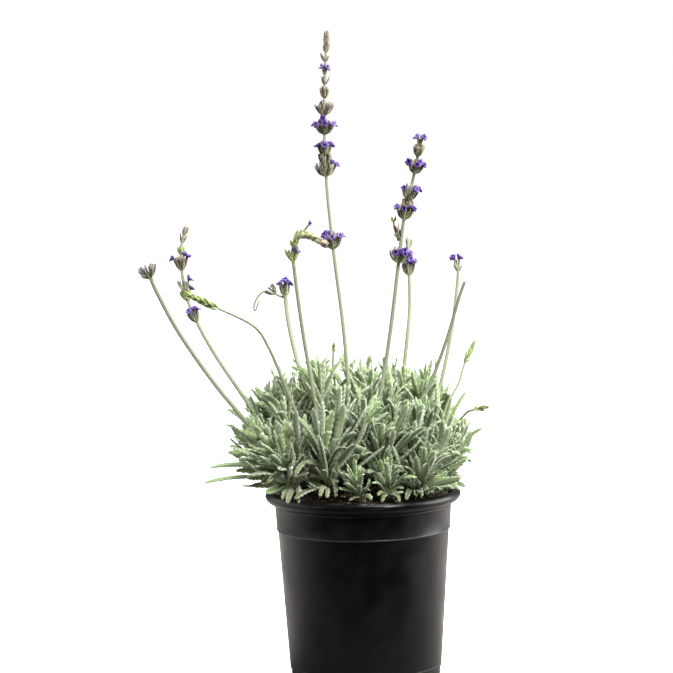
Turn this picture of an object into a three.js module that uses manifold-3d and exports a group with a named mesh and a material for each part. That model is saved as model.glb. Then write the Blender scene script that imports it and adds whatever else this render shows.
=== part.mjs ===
// Potted lavender: a clump of leafy shoots and flower stalks in a round nursery pot.
// Millimetres, +Z up. The origin is the centre of the pot's underside, and -Y is the front.
import * as THREE from 'three';
import { mergeVertices } from 'three/addons/utils/BufferGeometryUtils.js';
import Module from 'manifold-3d';

const wasm = await Module();
wasm.setup();

// Driving sizes of the pot
const POT_HEIGHT = 165;
const RIM_RADIUS = 82.5;
const RIM_EDGE = 4; // height of the rim's upright outer edge
const RIM_ROUND = 2; // height of the rounding above that edge, and of the slope below it
const RIM_WIDTH = 3.6; // from the outer edge in to the rim's highest line
const RIM_INNER = 6; // from the outer edge in to where the rim turns down into the pot
const COLLAR_TOP = 150.5; // where the rim's underside meets the collar
const COLLAR_TOP_RADIUS = 74.3;
const COLLAR_FOOT = 130; // where the collar steps in to the body
const COLLAR_FOOT_RADIUS = 73.1;
const STEP = 1; // depth of the moulded step under the collar and above the foot
const FOOT_TOP = 11;
const FOOT_TOP_RADIUS = 63;
const FOOT_RADIUS = 62.4;
const WALL = 1.7;
const FLOOR = 2.2;
const ROUND_SIDES = 32;
const DRAIN_HOLES = 6;
const DRAIN_RADIUS = 6;
const DRAIN_RING = 46; // distance of each drain hole from the pot's axis
const DRAIN_SIDES = 10;
const MARK_LENGTH = 30; // shallow plain recess moulded in the front of the rim
const MARK_HEIGHT = 2.2;
const MARK_DEPTH = 1.3;

// Driving sizes of the soil
const CLEARANCE = 0.3; // gap kept between pieces that touch
const SOIL_EDGE = 160; // surface height beside the pot's wall
const SOIL_CROWN = 8; // how much higher the surface is at the middle
const SOIL_RADIUS = 71.6;
const HOLE_DEPTH = 13;
const HOLE_MARGIN = 0.45;

// Driving sizes of the leafy shoots
const STEM_RADIUS = 1.6; // leafy shoot at the soil
const FORK_RADIUS = 1.2; // side branch where it leaves the shoot
const TWIG_RADIUS = 0.9; // leafy shoot at its tip
const STEM_SIDES = 4; // mint-family stems are square
const UPRIGHT_STEM = 2; // every stem leaves the soil upright for this far
const FORK = 0.34; // part of a shoot at which its side branch leaves
const KNEE_OUT = 0.62; // a branch bends up after this part of its reach
const KNEE_RISE = 0.36; // and at this part of its height
const LEAF_LENGTH = 48;
const LEAF_WIDTH = 7.6;
const LEAF_ROOT = 0.3; // distance of each leaf's root from the middle of its stem
const BLADE_KEEL = 0.9; // how far the midrib stands below the blade
const FIRST_PAIR = 0.2; // part of a branch below which the leaves have fallen
const SHADED_FIRST_PAIR = 0.5; // the same in the middle of the clump
const LAST_PAIR = 0.96;
const PAIR_SHIFT = 0.012; // the two leaves of a pair stand this part of the branch apart
const PAIRS = 3; // leaf pairs on a shoot's main stem
const SIDE_PAIRS = 2; // and on its side branch, and on young and shaded stems
const YOUNG_LENGTH = 0.55; // young tufts have shorter and narrower leaves
const YOUNG_WIDTH = 0.7;

// Driving sizes of the flower stalks
const STALK_RADIUS = 1.55; // flower stalk at the soil
const STALK_TOP_RADIUS = 1; // flower stalk at its tip
const THIN_STALK = 0.65; // the stalks of unopened spikes are thinner by this
const THIN_TOP_RADIUS = 0.7;
const CALYX_WIDTH = 3.4;
const POD_SIDES = 3;
const POD_ROOT = 0.4; // distance of each calyx's root from the middle of the stalk
const FLORET_RADIUS = 5;
const FLORET_THROAT = 1.5;
const LOBES = 5;
const LOBE_NOTCH = 0.62; // how far in the gaps between lobes reach

// Gaps kept between leaves and what is round them
const LEAF_GAP = 1;
const STEM_GAP = 0.8;
const GROUND_GAP = 1.2; // to the soil and the rim
const SAMPLE_STEP = 3; // spacing of the points that stand for leaves, stems and stalks
const WELD = 1e-4; // corners closer than this are one

// Finishes
const finish = (color, roughness) => new THREE.MeshStandardMaterial({ color, roughness, metalness: 0 });
const potPlastic = finish('#1b1a1a', 0.45);
const pottingMix = finish('#3a2f26', 0.95);
const felt = finish('#8fa07c', 0.8);
const stalkGreen = finish('#a5ab84', 0.75);
const budGreen = finish('#8fae52', 0.75);
const violet = finish('#6444b4', 0.7);

// Leafy shoots: where each leaves the soil, and where its branches end.
// The young ones are small tufts at the front of the pot. The shaded ones stand
// in the middle of the clump and have lost their lowest leaves.
const SHOOTS = [
  { foot: [-54, -38], tips: [[-72, -46, 204], [-64, -60, 190]] },
  { foot: [-2, -62], tips: [[-6, -71, 180]], young: true },
  { foot: [20, -58], tips: [[22, -68, 184]], young: true },
  { foot: [-28, -42], tips: [[-34, -50, 210], [-20, -42, 222]] },
  { foot: [42, -46], tips: [[52, -60, 192], [64, -46, 196]] },
  { foot: [-40, -22], tips: [[-62, -32, 224], [-76, -34, 208]] },
  { foot: [-12, -26], tips: [[-14, -28, 236], [2, -36, 226]] },
  { foot: [14, -30], tips: [[14, -44, 206], [28, -38, 220]] },
  { foot: [38, -18], tips: [[46, -34, 222], [60, -22, 212]] },
  { foot: [54, -28], tips: [[76, -36, 202], [68, -28, 218]] },
  { foot: [-62, -2], tips: [[-88, -6, 212], [-82, 4, 200]] },
  { foot: [-38, 10], tips: [[-64, 4, 244], [-70, 18, 234]] },
  { foot: [-18, 4], tips: [[-34, -6, 248], [-36, 12, 254]], shaded: true },
  { foot: [4, 4], tips: [[0, 12, 248], [6, -8, 240]], shaded: true },
  { foot: [22, 2], tips: [[24, -4, 238], [36, 6, 244]], shaded: true },
  { foot: [42, 18], tips: [[54, 28, 240], [50, 6, 236]] },
  { foot: [-56, 26], tips: [[-80, 32, 228], [-74, 46, 214]] },
  { foot: [-28, 34], tips: [[-44, 38, 248], [-54, 52, 232]] },
  { foot: [-2, 32], tips: [[-10, 38, 250], [8, 48, 240]], shaded: true },
  { foot: [24, 32], tips: [[24, 38, 246], [38, 50, 236]], shaded: true },
  { foot: [50, 32], tips: [[70, 38, 230], [66, 52, 220]] },
  { foot: [-34, 56], tips: [[-58, 70, 214], [-40, 78, 222]] },
  { foot: [-2, 58], tips: [[-12, 80, 222], [10, 82, 216]] },
  { foot: [30, 54], tips: [[36, 78, 216], [54, 70, 222]] },
  { foot: [63, 20], tips: [[84, 14, 206], [82, 30, 198]] },
];

// Large leaves that give the clump its outline: shoot, branch, place along it, tip, width, curl
const LARGE_LEAVES = [
  [0, 0, 0.4, [-132, -42, 177], 5.6, -0.5],
  [0, 0, 0.5, [-127, -26, 187], 7.4, -0.7],
  [0, 0, 0.62, [-112, -34, 203], 6.6, -0.35],
  [0, 1, 0.7, [-88, -62, 208], 7, -0.9],
  [0, 0, 0.85, [-77, -50, 224], 6, 0.3],
  [3, 1, 0.85, [-14, -38, 256], 7.6, 0.2],
  [3, 0, 0.6, [-52, -62, 231], 6.4, -1],
  [3, 0, 0.35, [4, -56, 226], 8.2, 0.5],
  [3, 0, 0.28, [18, -62, 208], 7.8, 0.4],
  [4, 1, 0.7, [91, -44, 212], 4.4, 0.4],
  [4, 1, 0.5, [85, -50, 195], 5.4, 0.7],
  [4, 1, 0.46, [79, -44, 176], 6, 0.2],
  [4, 0, 0.8, [50, -74, 208], 5.6, 0.3],
  [4, 0, 0.9, [61, -66, 211], 5.4, -0.4],
  [2, 0, 0.5, [38, -80, 189], 5.4, 0.3],
  [2, 0, 0.8, [19, -78, 199], 4.4, 0.2],
  [1, 0, 0.6, [-18, -80, 190], 4.2, 0.3],
  [1, 0, 0.8, [-2, -83, 192], 3.8, 0.2],
  [9, 1, 0.9, [87, -16, 246], 5.6, -0.2],
  [9, 0, 0.9, [88, -44, 222], 5.2, 0.3],
];

const UP = new THREE.Vector3(0, 0, 1);

// A seeded stream of even draws between 0 and 1
function draws(seed) {
  let state = seed;
  const next = () => {
    state = (state * 1664525 + 1013904223) % 4294967296;
    return state / 4294967296;
  };
  next();
  next();
  next();
  return next;
}

// A closed geometry as a solid that can be joined and cut. The empty triangles
// that a lathe leaves on its axis are dropped.
function solidOf(geometry) {
  const bare = new THREE.BufferGeometry();
  bare.setAttribute('position', geometry.getAttribute('position'));
  bare.setIndex(geometry.getIndex());
  const merged = mergeVertices(bare, WELD);
  const index = merged.getIndex().array;
  const kept = [];
  for (let i = 0; i < index.length; i += 3) {
    const [a, b, c] = index.slice(i, i + 3);
    if (a !== b && b !== c && c !== a) kept.push(a, b, c);
  }
  return new wasm.Manifold(new wasm.Mesh({
    numProp: 3,
    vertProperties: new Float32Array(merged.getAttribute('position').array),
    triVerts: new Uint32Array(kept),
  }));
}

// A round solid from its profile, given as radius and height from the axis round to the axis
function turned(profile) {
  const points = profile.map(([radius, height]) => new THREE.Vector2(radius, height));
  return solidOf(new THREE.LatheGeometry(points, ROUND_SIDES).rotateX(Math.PI / 2));
}

function meshOf(name, solid, material) {
  const { vertProperties, triVerts } = solid.getMesh();
  const geometry = new THREE.BufferGeometry();
  geometry.setAttribute('position', new THREE.BufferAttribute(vertProperties, 3));
  geometry.setIndex(new THREE.BufferAttribute(triVerts, 1));
  geometry.computeVertexNormals();
  const mesh = new THREE.Mesh(geometry, material);
  mesh.name = name;
  return mesh;
}

const joined = (solids) => solids.reduce((whole, solid) => whole.add(solid));

// A closed skin of rings, root first: place(row, side) gives each corner, and both ends draw to a point
function drawnOut(rows, sides, place) {
  const geometry = new THREE.CylinderGeometry(0, 0, 1, sides, rows - 1, true);
  const position = geometry.getAttribute('position');
  for (let i = 0; i < position.count; i += 1) {
    const row = rows - 1 - Math.floor(i / (sides + 1));
    const corner = place(row, i % (sides + 1) % sides);
    position.setXYZ(i, corner.x, corner.y, corner.z);
  }
  return solidOf(geometry);
}

// A square or round stem through a list of points, tapering from one radius to the other
function stem(points, startRadius, endRadius, sides = STEM_SIDES) {
  const frames = [];
  let across = new THREE.Vector3(1, 0, 0);
  points.forEach((point, i) => {
    const before = points[Math.max(i - 1, 0)];
    const after = points[Math.min(i + 1, points.length - 1)];
    const along = after.clone().sub(before).normalize();
    across = across.clone().addScaledVector(along, -across.dot(along)).normalize();
    frames.push({ point, across, other: across.clone().cross(along) });
  });
  const last = points.length - 1;
  return drawnOut(points.length + 2, sides, (row, side) => {
    const { point, across: x, other: y } = frames[THREE.MathUtils.clamp(row - 1, 0, last)];
    if (row === 0 || row === last + 2) return point.clone();
    const radius = THREE.MathUtils.lerp(startRadius, endRadius, (row - 1) / last);
    const angle = (side + 0.5) / sides * 2 * Math.PI;
    return point.clone()
      .addScaledVector(x, -radius * Math.cos(angle))
      .addScaledVector(y, radius * Math.sin(angle));
  });
}

// The pot, moulded in one piece: rim, collar, tapering body and a floor with drain holes
function pot() {
  const rimFoot = POT_HEIGHT - RIM_ROUND - RIM_EDGE;
  const bodyTop = COLLAR_FOOT - STEP;
  const rimTop = [0, Math.PI / 4, Math.PI / 2].map((angle) => [
    RIM_RADIUS - RIM_WIDTH * (1 - Math.cos(angle)),
    POT_HEIGHT - RIM_ROUND * (1 - Math.sin(angle)),
  ]);
  let body = turned([
    [0, 0], [FOOT_RADIUS, 0], [FOOT_TOP_RADIUS, FOOT_TOP], [FOOT_TOP_RADIUS + STEP, FOOT_TOP + STEP],
    [COLLAR_FOOT_RADIUS - STEP, bodyTop], [COLLAR_FOOT_RADIUS, COLLAR_FOOT], [COLLAR_TOP_RADIUS, COLLAR_TOP],
    [RIM_RADIUS - STEP, rimFoot - RIM_ROUND], [RIM_RADIUS, rimFoot], ...rimTop,
    [RIM_RADIUS - RIM_INNER, POT_HEIGHT - RIM_ROUND], [COLLAR_TOP_RADIUS - WALL, COLLAR_TOP],
    [FOOT_RADIUS - WALL, FLOOR], [0, FLOOR],
  ]);
  for (let i = 0; i < DRAIN_HOLES; i += 1) {
    const angle = (i + 0.5) / DRAIN_HOLES * 2 * Math.PI;
    const [x, y] = [DRAIN_RING * Math.cos(angle), DRAIN_RING * Math.sin(angle)];
    const bore = [-FLOOR, 2 * FLOOR].map((z) => new THREE.Vector3(x, y, z));
    body = body.subtract(stem(bore, DRAIN_RADIUS, DRAIN_RADIUS, DRAIN_SIDES));
  }
  const mark = new THREE.BoxGeometry(MARK_LENGTH, 2 * MARK_DEPTH, MARK_HEIGHT);
  mark.translate(0, -RIM_RADIUS, rimFoot + RIM_EDGE / 2);
  return body.subtract(solidOf(mark));
}

const soilHeight = (x, y) => SOIL_EDGE + SOIL_CROWN * (1 - (x * x + y * y) / SOIL_RADIUS ** 2);

// The soil fills the pot, crowned a little, with a plain hole for each stem
function soil(feet) {
  const gap = WALL + CLEARANCE;
  const surface = [0.97, 0.6, 0].map((part) => [part * SOIL_RADIUS, soilHeight(part * SOIL_RADIUS, 0)]);
  const bed = turned([
    [0, FLOOR + CLEARANCE], [FOOT_RADIUS - gap, FLOOR + CLEARANCE],
    [COLLAR_TOP_RADIUS - gap, COLLAR_TOP], [COLLAR_TOP_RADIUS - gap, SOIL_EDGE], ...surface,
  ]);
  return feet.reduce((body, { x, y, radius }) => {
    const top = soilHeight(x, y);
    const bore = [top - HOLE_DEPTH, top + SOIL_CROWN].map((z) => new THREE.Vector3(x, y, z));
    return body.subtract(stem(bore, radius + HOLE_MARGIN, radius + HOLE_MARGIN));
  }, bed);
}

// Stems stand upright in their hole and stop just above its floor
function rooted(x, y) {
  const top = soilHeight(x, y);
  return [top - HOLE_DEPTH + CLEARANCE, top + UPRIGHT_STEM].map((z) => new THREE.Vector3(x, y, z));
}

// A branch leaves its start low and sideways, then turns up to its tip
function branchCurve(start, tip) {
  const knee = start.clone().lerp(tip, KNEE_OUT);
  knee.z = THREE.MathUtils.lerp(start.z, tip.z, KNEE_RISE);
  return new THREE.QuadraticBezierCurve3(start, knee, tip);
}

// Both branches of each shoot: the first from the soil, the second from a fork in the first
const branches = SHOOTS.map(({ foot: [x, y], tips }) => {
  const start = rooted(x, y)[1];
  const main = branchCurve(start, new THREE.Vector3(...tips[0]));
  const curves = [main];
  if (tips.length > 1) curves.push(branchCurve(main.getPoint(FORK), new THREE.Vector3(...tips[1])));
  return curves;
});

// An arched blade: where its middle line and its two flat directions are at any part of its length
function arch(root, heading, top, length, curl) {
  const turn = Math.abs(curl) < 0.01 ? 0.01 : curl;
  const radius = length / turn;
  return (s) => {
    const angle = turn * s;
    const point = root.clone()
      .addScaledVector(heading, radius * Math.sin(angle))
      .addScaledVector(top, radius * (1 - Math.cos(angle)));
    const along = heading.clone().multiplyScalar(Math.cos(angle)).addScaledVector(top, Math.sin(angle));
    const up = top.clone().multiplyScalar(Math.cos(angle)).addScaledVector(heading, -Math.sin(angle));
    return { point, up, side: along.clone().cross(up) };
  };
}

// Outlines of a blade as part of the length and part of the half width. Teeth show as notches.
const TOOTHED = [[0, 0], [0.36, 0.92], [0.5, 0.68], [0.72, 1], [1, 0]];
const FINE_TOOTHED = [
  [0, 0], [0.3, 0.88], [0.41, 0.64], [0.56, 1], [0.67, 0.7], [0.8, 0.84], [1, 0],
];
const NARROW = [[0, 0], [0.55, 1], [1, 0]];

// A blade is three-sided: a flat face above and a keel below
function blade(leaf) {
  const at = arch(leaf.root, leaf.heading, leaf.top, leaf.length, leaf.curl);
  return drawnOut(leaf.outline.length, 3, (row, corner) => {
    const [s, part] = leaf.outline[row];
    const { point, up, side } = at(s);
    const half = part * leaf.width / 2;
    if (corner === 0) return point.addScaledVector(up, part === 0 ? 0 : -BLADE_KEEL - 0.1 * half);
    return point.addScaledVector(side, corner === 1 ? -half : half);
  });
}

// The frame of a leaf that starts at a place on a branch and leans out from it
function leafOn(curve, t, spin, splay, length, width, curl, outline) {
  const axis = curve.getTangent(t);
  const east = new THREE.Vector3(1, 0, 0).addScaledVector(axis, -axis.x).normalize();
  const north = axis.clone().cross(east);
  const out = east.multiplyScalar(Math.cos(spin)).addScaledVector(north, Math.sin(spin));
  const root = curve.getPoint(t).addScaledVector(out, LEAF_ROOT);
  const heading = axis.clone().multiplyScalar(Math.cos(splay)).addScaledVector(out, Math.sin(splay));
  const top = axis.clone().multiplyScalar(Math.sin(splay)).addScaledVector(out, -Math.cos(splay));
  return { root, heading, top, length, width, curl, outline };
}

// The frame of a leaf that reaches from a place on a branch to a given tip
function leafTo(curve, t, tip, width, curl) {
  const root = curve.getPoint(t);
  const chord = new THREE.Vector3(...tip).sub(root);
  const direction = chord.clone().normalize();
  const rise = UP.clone().addScaledVector(direction, -direction.z).normalize();
  const half = curl / 2;
  const heading = direction.clone().multiplyScalar(Math.cos(half)).addScaledVector(rise, -Math.sin(half));
  const top = rise.clone().multiplyScalar(Math.cos(half)).addScaledVector(direction, Math.sin(half));
  const length = chord.length() * half / Math.sin(half);
  return { root, heading, top, length, width, curl, outline: FINE_TOOTHED };
}

const largeLeaves = LARGE_LEAVES.map(([shoot, branch, t, tip, width, curl]) => (
  { shoot, branch, ...leafTo(branches[shoot][branch], t, tip, width, curl) }));

// Flower stalks: where each leaves the soil, the points it passes through, and what it carries.
// A whorl is [height, calyces, length, splay in degrees, spin in degrees].
// A floret group names the calyces that its florets stand on, as [whorl, [calyx, ...]].
const STALKS = [
  {
    name: 'tall', foot: [-7, -8],
    path: [[-8, 0, 205], [-13, 4, 290], [-21, 5, 366], [-26, 8, 430], [-26, 9, 490], [-23, 12, 546]],
    whorls: [
      [365, 7, 12.5, 33, 12], [426, 6, 13, 42, 352], [433, 5, 11, 24, 30], [443, 5, 10, 34, 270],
      [461, 7, 11, 40, 12], [476, 6, 12, 34, 0], [491, 4, 8, 24, 45], [502, 3, 9, 38, 350],
      [511, 3, 8, 42, 60], [523, 3, 10, 34, 180], [531, 3, 8, 16, 0], [538, 3, 9, 11, 60],
    ],
    florets: [
      ['base', [[0, [0, 1, 2, 3, 4, 5, 6]]]], ['low', [[1, [0]]]], ['middle', [[3, [0, 1, 4]]]],
      ['ring', [[4, [0, 1, 2, 3, 4, 5, 6]]]], ['top', [[8, [2]]]],
    ],
  },
  {
    name: 'right', foot: [5, -11],
    path: [[12, -17, 222], [24, -21, 290], [33, -26, 356], [38, -30, 392], [47, -36, 430], [52, -44, 458]],
    whorls: [
      [355, 7, 12, 42, 345], [391, 6, 12.5, 32, 20], [399, 5, 9, 22, 0], [409, 6, 12, 36, 340],
      [429, 6, 11, 34, 330], [445, 4, 9, 28, 30], [452, 3, 7, 18, 320],
    ],
    florets: [
      ['base', [[0, [0, 6, 5]]]], ['middle', [[1, [5, 4]]]], ['upper', [[3, [0]]]],
      ['head', [[4, [0]]]], ['top', [[6, [0]]]],
    ],
  },
  {
    name: 'short', foot: [27, 17],
    path: [[33, 20, 230], [40, 27, 285], [43, 34, 312], [43, 40, 342], [43, 47, 372]],
    whorls: [[339, 5, 12, 34, 330], [348, 4, 9, 14, 30], [360, 3, 9, 12, 0]],
    florets: [['low', [[0, [0]]]]],
  },
  {
    name: 'far_right', foot: [46, 2],
    path: [[57, 10, 208], [70, 17, 258], [79, 24, 300], [84, 31, 336], [84, 33, 347]],
    whorls: [[344, 3, 10, 24, 215]],
    florets: [['single', [[0, [0]]]]],
  },
  {
    name: 'cut', foot: [24, -8],
    path: [[40, -15, 221], [56, -20, 250], [71, -28, 289], [82, -36, 326], [87, -40, 340]],
    whorls: [], florets: [],
  },
  {
    name: 'left', foot: [-54, -16],
    path: [[-84, -20, 209], [-119, -28, 254], [-149, -34, 300], [-166, -39, 334], [-170, -42, 348]],
    whorls: [[345, 7, 13, 48, 0], [346, 4, 12, 20, 30]], florets: [],
  },
  {
    name: 'left_spike', foot: [-52, 13],
    path: [
      [-94, 12, 233], [-122, 18, 276], [-138, 22, 306], [-147, 28, 331], [-150, 33, 362], [-145, 38, 386],
    ],
    whorls: [
      [304, 5, 10, 26, 320], [322, 6, 10, 38, 330], [332, 5, 9, 30, 350], [349, 6, 11, 38, 350],
      [363, 4, 6, 18, 0], [370, 3, 9, 30, 20], [378, 4, 8, 14, 0],
    ],
    florets: [
      ['base', [[0, [0, 4]]]], ['low', [[1, [0]]]], ['middle', [[2, [0]]]], ['side', [[3, [3]]]],
      ['upper', [[3, [0]]]],
    ],
  },
  {
    name: 'arching', foot: [-36, -6],
    path: [
      [-48, -13, 212], [-64, -24, 256], [-76, -31, 287], [-88, -39, 306], [-117, -46, 322], [-139, -50, 333],
    ],
    whorls: [], florets: [], spike: [4, 4.92, 6, 6], curved: true,
  },
  {
    name: 'inner', foot: [-28, 18],
    path: [[-44, 15, 236], [-54, 27, 272], [-61, 36, 300], [-66, 45, 326]],
    whorls: [[324, 5, 12, 28, 225], [325, 4, 10, 60, 165]],
    florets: [['head', [[0, [0, 1]]]]],
  },
  {
    name: 'bent', foot: [-24, -18],
    path: [[-34, -20, 214], [-40, -26, 250], [-48, -32, 304], [-54, -40, 360], [-53, -45, 374]],
    whorls: [[359, 6, 11, 44, 0], [366, 4, 9, 26, 40]],
    florets: [['side', [[0, [5]]]]],
    droop: [[-53, -45, 374], [-50, -47, 379], [-42, -49, 380], [-34, -52, 377], [-27, -54, 373]],
  },
  {
    name: 'bud_high', foot: [60, 8],
    path: [[70, 15, 222], [83, 22, 248], [88, 26, 263], [97, 30, 282]],
    whorls: [], florets: [], spike: [2.15, 2.92, 4, 8], thin: true,
  },
  {
    name: 'bud_low', foot: [62, -8],
    path: [[73, -15, 208], [86, -22, 227], [92, -26, 231], [105, -30, 234]],
    whorls: [], florets: [], spike: [2.15, 2.92, 5, 6], thin: true,
  },
  {
    name: 'bud_back', foot: [-12, 21],
    path: [[-19, 20, 228], [-23, 21, 262], [-22, 24, 284]],
    whorls: [], florets: [], spike: [1.4, 1.95, 3, 6], thin: true,
  },
];

// The line of a stalk from the soil to its tip
for (const stalk of STALKS) {
  const points = [rooted(...stalk.foot)[1], ...stalk.path.map((point) => new THREE.Vector3(...point))];
  stalk.curve = new THREE.CatmullRomCurve3(points, false, 'catmullrom', 0.5);
  stalk.spans = points.length - 1;
  stalk.radius = stalk.thin ? STALK_RADIUS * THIN_STALK : STALK_RADIUS;
}

// The part of an upright curve at which it reaches a height
function partAtHeight(curve, height) {
  let low = 0;
  let high = 1;
  for (let i = 0; i < 30; i += 1) {
    const middle = (low + high) / 2;
    if (curve.getPoint(middle).z < height) low = middle;
    else high = middle;
  }
  return low;
}

// The leaves placed so far, and the lines of the stems and stalks that stand between them
const placed = [];
const inTheWay = [];
function addLine(curve, shoot, startRadius, endRadius) {
  const count = Math.ceil(curve.getLength() / SAMPLE_STEP);
  curve.getPoints(count).forEach((point, i) => {
    inTheWay.push({ point, shoot, radius: THREE.MathUtils.lerp(startRadius, endRadius, i / count) });
  });
}
branches.forEach((curves, shoot) => curves.forEach((curve, branch) => {
  addLine(curve, shoot, branch > 0 ? FORK_RADIUS : STEM_RADIUS, TWIG_RADIUS);
}));
for (const { curve, radius } of STALKS) addLine(curve, -1, radius, STALK_TOP_RADIUS);

// Part of the half width of an outline at a part of its length
function breadth(outline, s) {
  const after = Math.max(1, outline.findIndex(([place]) => place >= s));
  const [[start, from], [end, to]] = [outline[after - 1], outline[after]];
  return THREE.MathUtils.mapLinear(s, start, end, from, to);
}

// A leaf with its sample points: along its middle and both edges
function sampled(leaf) {
  const at = arch(leaf.root, leaf.heading, leaf.top, leaf.length, leaf.curl);
  const steps = Math.ceil(leaf.length / SAMPLE_STEP);
  leaf.points = [];
  for (let i = 0; i <= steps; i += 1) {
    const s = i / steps;
    const { point, side } = at(s);
    const half = breadth(leaf.outline, s) * leaf.width / 2;
    for (const edge of [-half, 0, half]) leaf.points.push(point.clone().addScaledVector(side, edge));
  }
  leaf.middle = at(0.5).point;
  return leaf;
}

// Whether a point comes within a gap of a leaf, found in the leaf's own arched frame
function touches({ root, heading, top, length, width, curl, outline }, point, gap) {
  const turn = Math.abs(curl) < 0.01 ? 0.01 : curl;
  const radius = length / turn;
  const bend = Math.sign(turn);
  const fromCentre = point.clone().sub(root).addScaledVector(top, -radius);
  const ahead = fromCentre.dot(heading) * bend;
  const below = -fromCentre.dot(top) * bend;
  const s = Math.atan2(ahead, below) / turn;
  if (s < -gap / length || s > 1 + gap / length) return false;
  const above = radius - bend * Math.hypot(ahead, below);
  if (above > gap || above < -BLADE_KEEL - gap) return false;
  const aside = Math.abs(fromCentre.dot(heading.clone().cross(top)));
  return aside < breadth(outline, THREE.MathUtils.clamp(s, 0, 1)) * width / 2 + gap;
}

// A leaf fits if it stays clear of the ground, of stalks and stems, and of other leaves.
// It may meet its own shoot's stem and leaves near its root.
const ROOT_FREE = 8;
function fits(leaf, shoot) {
  const reach = leaf.length / 2 + LEAF_WIDTH / 2;
  const tooLow = ({ x, y, z }) => {
    const inside = Math.hypot(x, y) < SOIL_RADIUS - RIM_ROUND;
    return z < (inside ? soilHeight(x, y) : POT_HEIGHT) + GROUND_GAP;
  };
  if (leaf.points.some(tooLow)) return false;
  const blocked = inTheWay.some(({ point, shoot: other, radius }) => (
    (other !== shoot || point.distanceTo(leaf.root) > ROOT_FREE)
    && point.distanceTo(leaf.middle) < reach + radius
    && touches(leaf, point, radius + STEM_GAP)));
  if (blocked) return false;
  return placed.every((other) => {
    if (other.middle.distanceTo(leaf.middle) > reach + other.length / 2 + LEAF_WIDTH / 2) return true;
    const away = ({ root, points }) => (
      other.shoot === shoot ? points.filter((point) => point.distanceTo(root) > ROOT_FREE) : points);
    return !away(leaf).some((point) => touches(other, point, LEAF_GAP))
      && !away(other).some((point) => touches(leaf, point, LEAF_GAP));
  });
}

// What a leaf that doesn't fit tries next: part of its splay, part of its length, further spin
const TRIES = [
  [1, 1, 0], [0.8, 1, 0.5], [0.8, 1, -0.5], [0.6, 1, 0], [1.2, 0.9, 0.3], [0.5, 0.9, 0.9],
  [0.5, 0.9, -0.9], [0.3, 0.8, 0], [0.7, 0.7, 0], [0.5, 0.7, 1.2], [0.8, 0.5, 0],
];

// Where the leaf pairs stand along a branch. The stem bends only at its leaves, so every leaf meets it.
const pairPlaces = ({ young, shaded }, branch) => {
  const pairs = young || shaded || branch > 0 ? SIDE_PAIRS : PAIRS;
  const first = shaded && branch === 0 ? SHADED_FIRST_PAIR : FIRST_PAIR;
  return Array.from({ length: pairs }, (_, i) => THREE.MathUtils.lerp(first, LAST_PAIR, i / (pairs - 1)));
};

// Leaves stand in pairs, each pair turned a quarter from the one below. Up the branch
// they close in, from splayed 56 degrees to 20, and get shorter and narrower.
const SPLAY = [0.98, 0.36];
const TIP_LENGTH = 0.56;
const TIP_WIDTH = 0.5;
function placeLeaf(curve, shoot, branch, pair, half) {
  const { young } = SHOOTS[shoot];
  const next = draws(1 + shoot * 97 + branch * 31 + pair * 7 + half * 3);
  const places = pairPlaces(SHOOTS[shoot], branch);
  const up = pair / (places.length - 1);
  const t = places[pair] - half * PAIR_SHIFT;
  const spin = shoot * 2.4 + branch * 0.8 + pair * Math.PI / 2 + half * Math.PI + (next() - 0.5) * 0.7;
  const splay = THREE.MathUtils.lerp(...SPLAY, up) * (0.8 + 0.4 * next());
  const grown = THREE.MathUtils.lerp(1, TIP_LENGTH, up ** 2) * (0.85 + 0.3 * next());
  const broad = THREE.MathUtils.lerp(1, TIP_WIDTH, up) * (0.9 + 0.2 * next());
  const length = LEAF_LENGTH * (young ? YOUNG_LENGTH : 1) * grown;
  const width = LEAF_WIDTH * (young ? YOUNG_WIDTH : 1) * broad;
  const curl = THREE.MathUtils.lerp(0.5, 0.1, up) - 1.1 * next() ** 2;
  const outline = up < 0.6 ? TOOTHED : NARROW;
  for (const [splayPart, lengthPart, turn] of TRIES) {
    const lean = splay * splayPart;
    const leaf = sampled(leafOn(curve, t, spin + turn, lean, length * lengthPart, width, curl, outline));
    if (fits(leaf, shoot)) {
      placed.push({ shoot, ...leaf });
      return;
    }
  }
}

// The large leaves come first, then the pairs, the lowest pair of every shoot before the next one up
for (const leaf of largeLeaves) placed.push(sampled(leaf));
for (let pair = 0; pair < PAIRS; pair += 1) {
  branches.forEach((curves, shoot) => curves.forEach((curve, branch) => {
    if (pair >= pairPlaces(SHOOTS[shoot], branch).length) return;
    for (let half = 0; half < 2; half += 1) placeLeaf(curve, shoot, branch, pair, half);
  }));
}

function leafyShoot(shoot) {
  const [hole] = rooted(...SHOOTS[shoot].foot);
  const stems = branches[shoot].map((curve, branch) => {
    const large = LARGE_LEAVES.filter(([s, b]) => s === shoot && b === branch).map(([, , t]) => t);
    const places = [0, ...pairPlaces(SHOOTS[shoot], branch), ...large, 1].sort((a, b) => a - b);
    const points = places.map((t) => curve.getPoint(t));
    if (branch > 0) return stem(points, FORK_RADIUS, TWIG_RADIUS);
    return stem([hole, ...points], STEM_RADIUS, TWIG_RADIUS);
  });
  return joined([...stems, ...placed.filter((leaf) => leaf.shoot === shoot).map(blade)]);
}

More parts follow.
